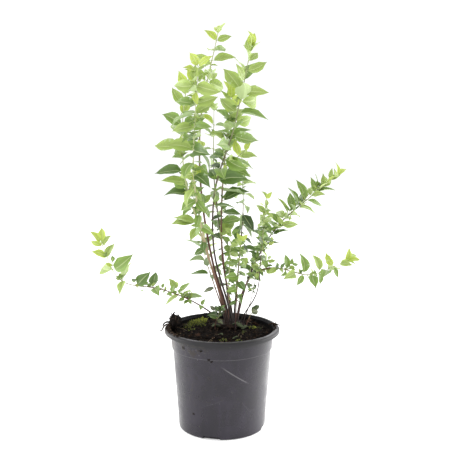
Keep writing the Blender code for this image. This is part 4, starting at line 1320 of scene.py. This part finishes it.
twig_finishes = [twig_finish(f"twig_{index + 1}", colour) for index, colour in enumerate(TWIG_TONES)]
for growth in growths:
    dice = random.Random(growth.shoot.seed + TWIG_SEED)
    twigs = tube_shape()
    for line in growth.twigs:
        fine = len(line) <= TWIG_RUNS
        runs = spaced(line, TWIG_RING)
        first, last = SPRIG_RADII if fine else TWIG_RADII
        radii = [first + (last - first) * share(i, runs) for i in range(len(runs))]
        tube(twigs, runs, radii, sides=6, finish=2 if fine else 1)
    for leaf in growth.leaves:
        spot = leaf.place.translation
        base = leaf.place @ Vector(STALK_SEAT)
        reach = (base - spot).length
        bend = spot + (leaf.heading * 0.5 + (base - spot).normalized()).normalized() * reach * 0.5
        least, most = STALK_LIMITS
        thick = STALK_RADIUS * min(most, max(least, leaf.length / PLAIN_LEAF))
        tone = 2 if leaf.young > GREEN_AGE + dice.uniform(-GREEN_SWING, GREEN_SWING) else 1
        tube(twigs, [spot, bend, base], [thick * part for part in STALK_TAPER], sides=5, finish=tone)
        if dice.random() < BUD_CHANCE:
            bud = bmesh.ops.create_cone(twigs, cap_ends=True, segments=6, radius1=1, radius2=0.12,
                                        depth=1)["verts"]
            out = (leaf.heading + (base - spot).normalized() * 0.7).normalized()
            turn = out.to_track_quat("Z", "Y").to_matrix()
            size = dice.uniform(*BUD_SIZES)
            for vert in bud:
                x, y, z = vert.co
                wide = size * BUD_WIDTH
                vert.co = spot + turn @ Vector((x * wide, y * wide, (z + 0.6) * size))
            paint(bud, 1)
    new_piece("twigs_" + growth.shoot.name, twigs, twig_finishes,
              ["foliage_" + growth.shoot.name], creases=60)


# The leaves
# Soft oval leaves drawn out to a point, in opposite pairs, with a pale midrib and veins that arch
# to the tip. Young ones are lime, old ones deep green, and all are paler underneath. Beside the
# midrib each half is darker: painted shade in the fold.
STATIONS = (0.0, 0.05, 0.16, 0.31, 0.47, 0.63, 0.79, 0.91, 1.0)
HALF_WIDTHS = (0.0, 0.096, 0.188, 0.238, 0.242, 0.198, 0.110, 0.034, 0.0)
SECTION = ((1.0, 0), (0.52, 1), (0.06, 1), (-0.06, 1), (-0.52, 1), (-1.0, 0), (-0.06, -1), (0.06, -1))
# The strips beside the midrib take a darker copy of the leaf's colour: painted shade in the fold.
BLADE, FOLD_SHADE, RIB, UNDERSIDE = range(4)
SECTION_FINISH = (BLADE, FOLD_SHADE, RIB, FOLD_SHADE, BLADE, UNDERSIDE, UNDERSIDE, UNDERSIDE)
RINGS = len(STATIONS) - 1
SPOKES = len(SECTION)
PUFF = 0.012
LEAF_WALL = 0.009
LEAF_SEED = 90000
FOLDS = (0.15, 0.70)
DROOPS = (0.05, 0.40)
CURLS = (-0.10, 0.60)
WAVES = (0.004, 0.026)
WAVE_COUNT = 15
WAVE_LAG = 1.8
SWEEPS = (-0.09, 0.09)
HOOKS = (-0.5, 0.5)
TWIST = 0.45
CURL_START = 0.55
HOOK_START = 0.7
RAGGEDNESS = 0.05
LEAF_TONES = (
    ("olive", (0.095, 0.112, 0.052)),
    ("shade", (0.044, 0.086, 0.018)),
    ("deep", (0.092, 0.170, 0.028)),
    ("mid", (0.195, 0.308, 0.055)),
    ("fresh", (0.332, 0.446, 0.104)),
    ("lime", (0.448, 0.560, 0.088)),
    ("bronze", (0.270, 0.235, 0.085)),
)
BRONZE = len(LEAF_TONES) - 1
BRONZE_CHANCE = 0.012
LIME_LENGTH = 0.034
TONE_RISE = 1.8
TONE_SPREAD = 0.62
RIB_PALE = (0.56, 0.62, 0.34)
UNDER_PALE = (0.50, 0.58, 0.39)


def leaf_finish(name, colour, rough, veins):
    """A plain leaf colour with a soft sheen and relief: arching veins, and a fine blistering."""
    made = Finish(name, colour, rough)
    made.roughen(made.cloud(210, 4), rough - 0.10, rough + 0.12)
    across, along, _ = made.parts(made.node("TexCoord").outputs["UV"])
    side = made.gap(made.times(across, 2), 1)
    arch = made.step(made.gap(side, 0.52), 0.0, 0.09)
    ribs = made.reckon("SINE", made.times(made.less(along, made.times(side, 0.16)), 58))
    height = made.plus(made.times(arch, 0.5 * veins), made.times(ribs, 0.10 * veins))
    made.relief(made.plus(height, made.times(made.cloud(520, 3), 0.35)), 0.00045)
    return made.material


def blended(one, two, part):
    return tuple(a + (b - a) * part for a, b in zip(one, two))


leaf_finishes = []
for name, colour in LEAF_TONES:
    leaf_finishes += [
        leaf_finish("leaf_" + name, colour, rough=0.40, veins=1.0),
        # Painted shade: the strips beside the midrib, darker than the rest of the blade.
        leaf_finish(f"leaf_{name}_fold_shade", tuple(part * 0.84 for part in colour), rough=0.40, veins=1.0),
        leaf_finish(f"leaf_{name}_rib", blended(colour, RIB_PALE, 0.45), rough=0.50, veins=0.0),
        leaf_finish(f"leaf_{name}_under", blended(colour, UNDER_PALE, 0.45), rough=0.70, veins=-0.8),
    ]


def tone_of(leaf, shoot, dice):
    """The leaf's colour: older lower down the shoot, with a chance to be a step off."""
    if dice.random() < BRONZE_CHANCE:
        return BRONZE if leaf.length > LIME_LENGTH else BRONZE - 1
    low, high = shoot.tones
    tone = round(low + (high - low) * leaf.young ** TONE_RISE + dice.gauss(0, TONE_SPREAD))
    return max(0, min(BRONZE - 1 if leaf.length < LIME_LENGTH else BRONZE - 2, tone))


def add_leaf(shape, uv, leaf, dice, tone, flat):
    """One blade: a flattened ball of eight rings drawn out to the leaf's outline, thin and closed."""
    verts = bmesh.ops.create_uvsphere(shape, u_segments=SPOKES, v_segments=RINGS, radius=1)["verts"]
    fold = dice.uniform(*FOLDS) * flat
    droop, curl, wave = [dice.uniform(*ends) for ends in (DROOPS, CURLS, WAVES)]
    phase = dice.uniform(0, math.tau)
    sweep, hook = dice.uniform(*SWEEPS), dice.uniform(*HOOKS)
    twist = dice.gauss(0, TWIST) * flat
    places = {}
    for vert in verts:
        ring = round((1 - math.acos(max(-1, min(1, vert.co.z))) / math.pi) * RINGS)
        spoke = round(math.atan2(vert.co.y, vert.co.x) / math.tau * SPOKES) % SPOKES
        open_ring = 0 < ring < RINGS
        side, layer = SECTION[spoke] if open_ring else (0.0, 0)
        ragged = 1 + RAGGEDNESS * math.sin(ring * 2.7 + phase) * abs(side)
        half = HALF_WIDTHS[ring] * side * ragged
        along = STALK_SHARE + (1 - STALK_SHARE) * STATIONS[ring]
        height = fold * abs(half) - curl * max(0.0, along - CURL_START) ** 2
        height += wave * math.sin(along * WAVE_COUNT + phase + (WAVE_LAG if side > 0 else 0)) * abs(side)
        height += PUFF * (1 - abs(abs(side) - 0.5) * 2) if layer > 0 else 0.0
        height -= LEAF_WALL if layer < 0 else 0.0
        turn = twist * along
        across = half * math.cos(turn) - height * math.sin(turn)
        height = half * math.sin(turn) + height * math.cos(turn) - droop * along ** 2
        sway = sweep * math.sin(along * math.pi) + hook * max(0.0, along - HOOK_START) ** 2
        vert.co = leaf.place @ Vector((along, across + sway, height))
        places[vert] = (spoke, 0.5 + 0.5 * side, STATIONS[ring], open_ring)
    for face in {face for vert in verts for face in vert.link_faces}:
        spokes = sorted({places[loop.vert][0] for loop in face.loops if places[loop.vert][3]})
        first = SPOKES - 1 if spokes == [0, SPOKES - 1] else spokes[0]
        face.material_index = tone * 4 + SECTION_FINISH[first]
        for loop in face.loops:
            loop[uv].uv = places[loop.vert][1:3]


for growth in growths:
    shoot = growth.shoot
    dice = random.Random(shoot.seed + LEAF_SEED)
    blades = tube_shape()
    flat = min(1, 1 / shoot.slender ** 3)
    for leaf in growth.leaves:
        add_leaf(blades, blades.loops.layers.uv.active, leaf, dice, tone_of(leaf, shoot, dice), flat)
    new_piece("leaves_" + shoot.name, blades, leaf_finishes, ["foliage_" + shoot.name], creases=75)


# Floor, light and camera
# The plant stands on a plain white floor in soft studio light from all round, between two large
# softboxes. The camera looks a little down on the pot, as in the photograph.
FLOOR_SIZE = 6.0
FLOOR_DROP = 0.0003
FLOOR_GLOW = 0.28
# A patch of floor beside the pot's right glows brighter: a painted pool of light.
SIDE_GLOW = 0.9
SIDE_GLOW_PLACE = (0.25, 0.05, 0)
CAMERA_PLACE = (0.0049, -1.4273, 0.5746)
CAMERA_TILT = math.radians(90 - 9.327)
CAMERA_LENS = 71.1
SKY_LIGHT = 1.1
LAMP_AIM = (0, 0, 0.3)
LAMPS = (
    ("key_lamp", (-0.9, -1.3, 1.7), 1.2, 1.2, 9.0),
    ("back_lamp", (0.2, 1.7, 1.5), 1.8, 1.2, 12.0),
    ("left_softbox", (-1.6, 0.5, 0.6), 1.6, 1.6, 25.0),
    ("right_softbox", (1.6, 0.5, 0.42), 1.6, 1.6, 33.0),
)

floor_shape = bmesh.new()
bmesh.ops.create_grid(floor_shape, x_segments=1, y_segments=1, size=FLOOR_SIZE / 2)
floor = in_scene("floor", mesh_from("floor", floor_shape))
floor_white = Finish("floor_white", (0.93, 0.93, 0.93), 0.9)
floor_white.colour(floor_white.mix(floor_white.cloud(6, 2), (0.92, 0.92, 0.92), (0.94, 0.94, 0.94)))
floor_white.shader.inputs["Emission Color"].default_value = (1, 1, 1, 1)
# Painted pool of light: extra glow in a patch of floor to the pot's right, on top of the floor's even glow.
side_glow = floor_white.times(floor_white.near(SIDE_GLOW_PLACE, 0.04, 0.34), SIDE_GLOW)
floor_white.feed(floor_white.shader.inputs["Emission Strength"], floor_white.plus(side_glow, FLOOR_GLOW))
floor.data.materials.append(floor_white.material)
floor.location.z = -FLOOR_DROP

world = bpy.data.worlds.new("studio")
bpy.context.scene.world = world
world.use_nodes = True
sky = world.node_tree.nodes["Background"]
sky.inputs["Color"].default_value = (1, 1, 1, 1)
sky.inputs["Strength"].default_value = SKY_LIGHT
for name, place, width, height, power in LAMPS:
    light = bpy.data.lights.new(name, "AREA")
    light.shape = "RECTANGLE"
    light.size = width
    light.size_y = height
    light.energy = power
    lamp = in_scene(name, light)
    lamp.location = place
    lamp.rotation_euler = (Vector(LAMP_AIM) - Vector(place)).to_track_quat("-Z", "Y").to_euler()

lens = bpy.data.cameras.new("camera")
lens.lens = CAMERA_LENS
lens.clip_start = 0.01
camera = in_scene("camera", lens)
camera.location = CAMERA_PLACE
camera.rotation_euler = (CAMERA_TILT, 0, 0)
bpy.context.scene.camera = camera
bpy.context.scene.view_settings.view_transform = "Standard"
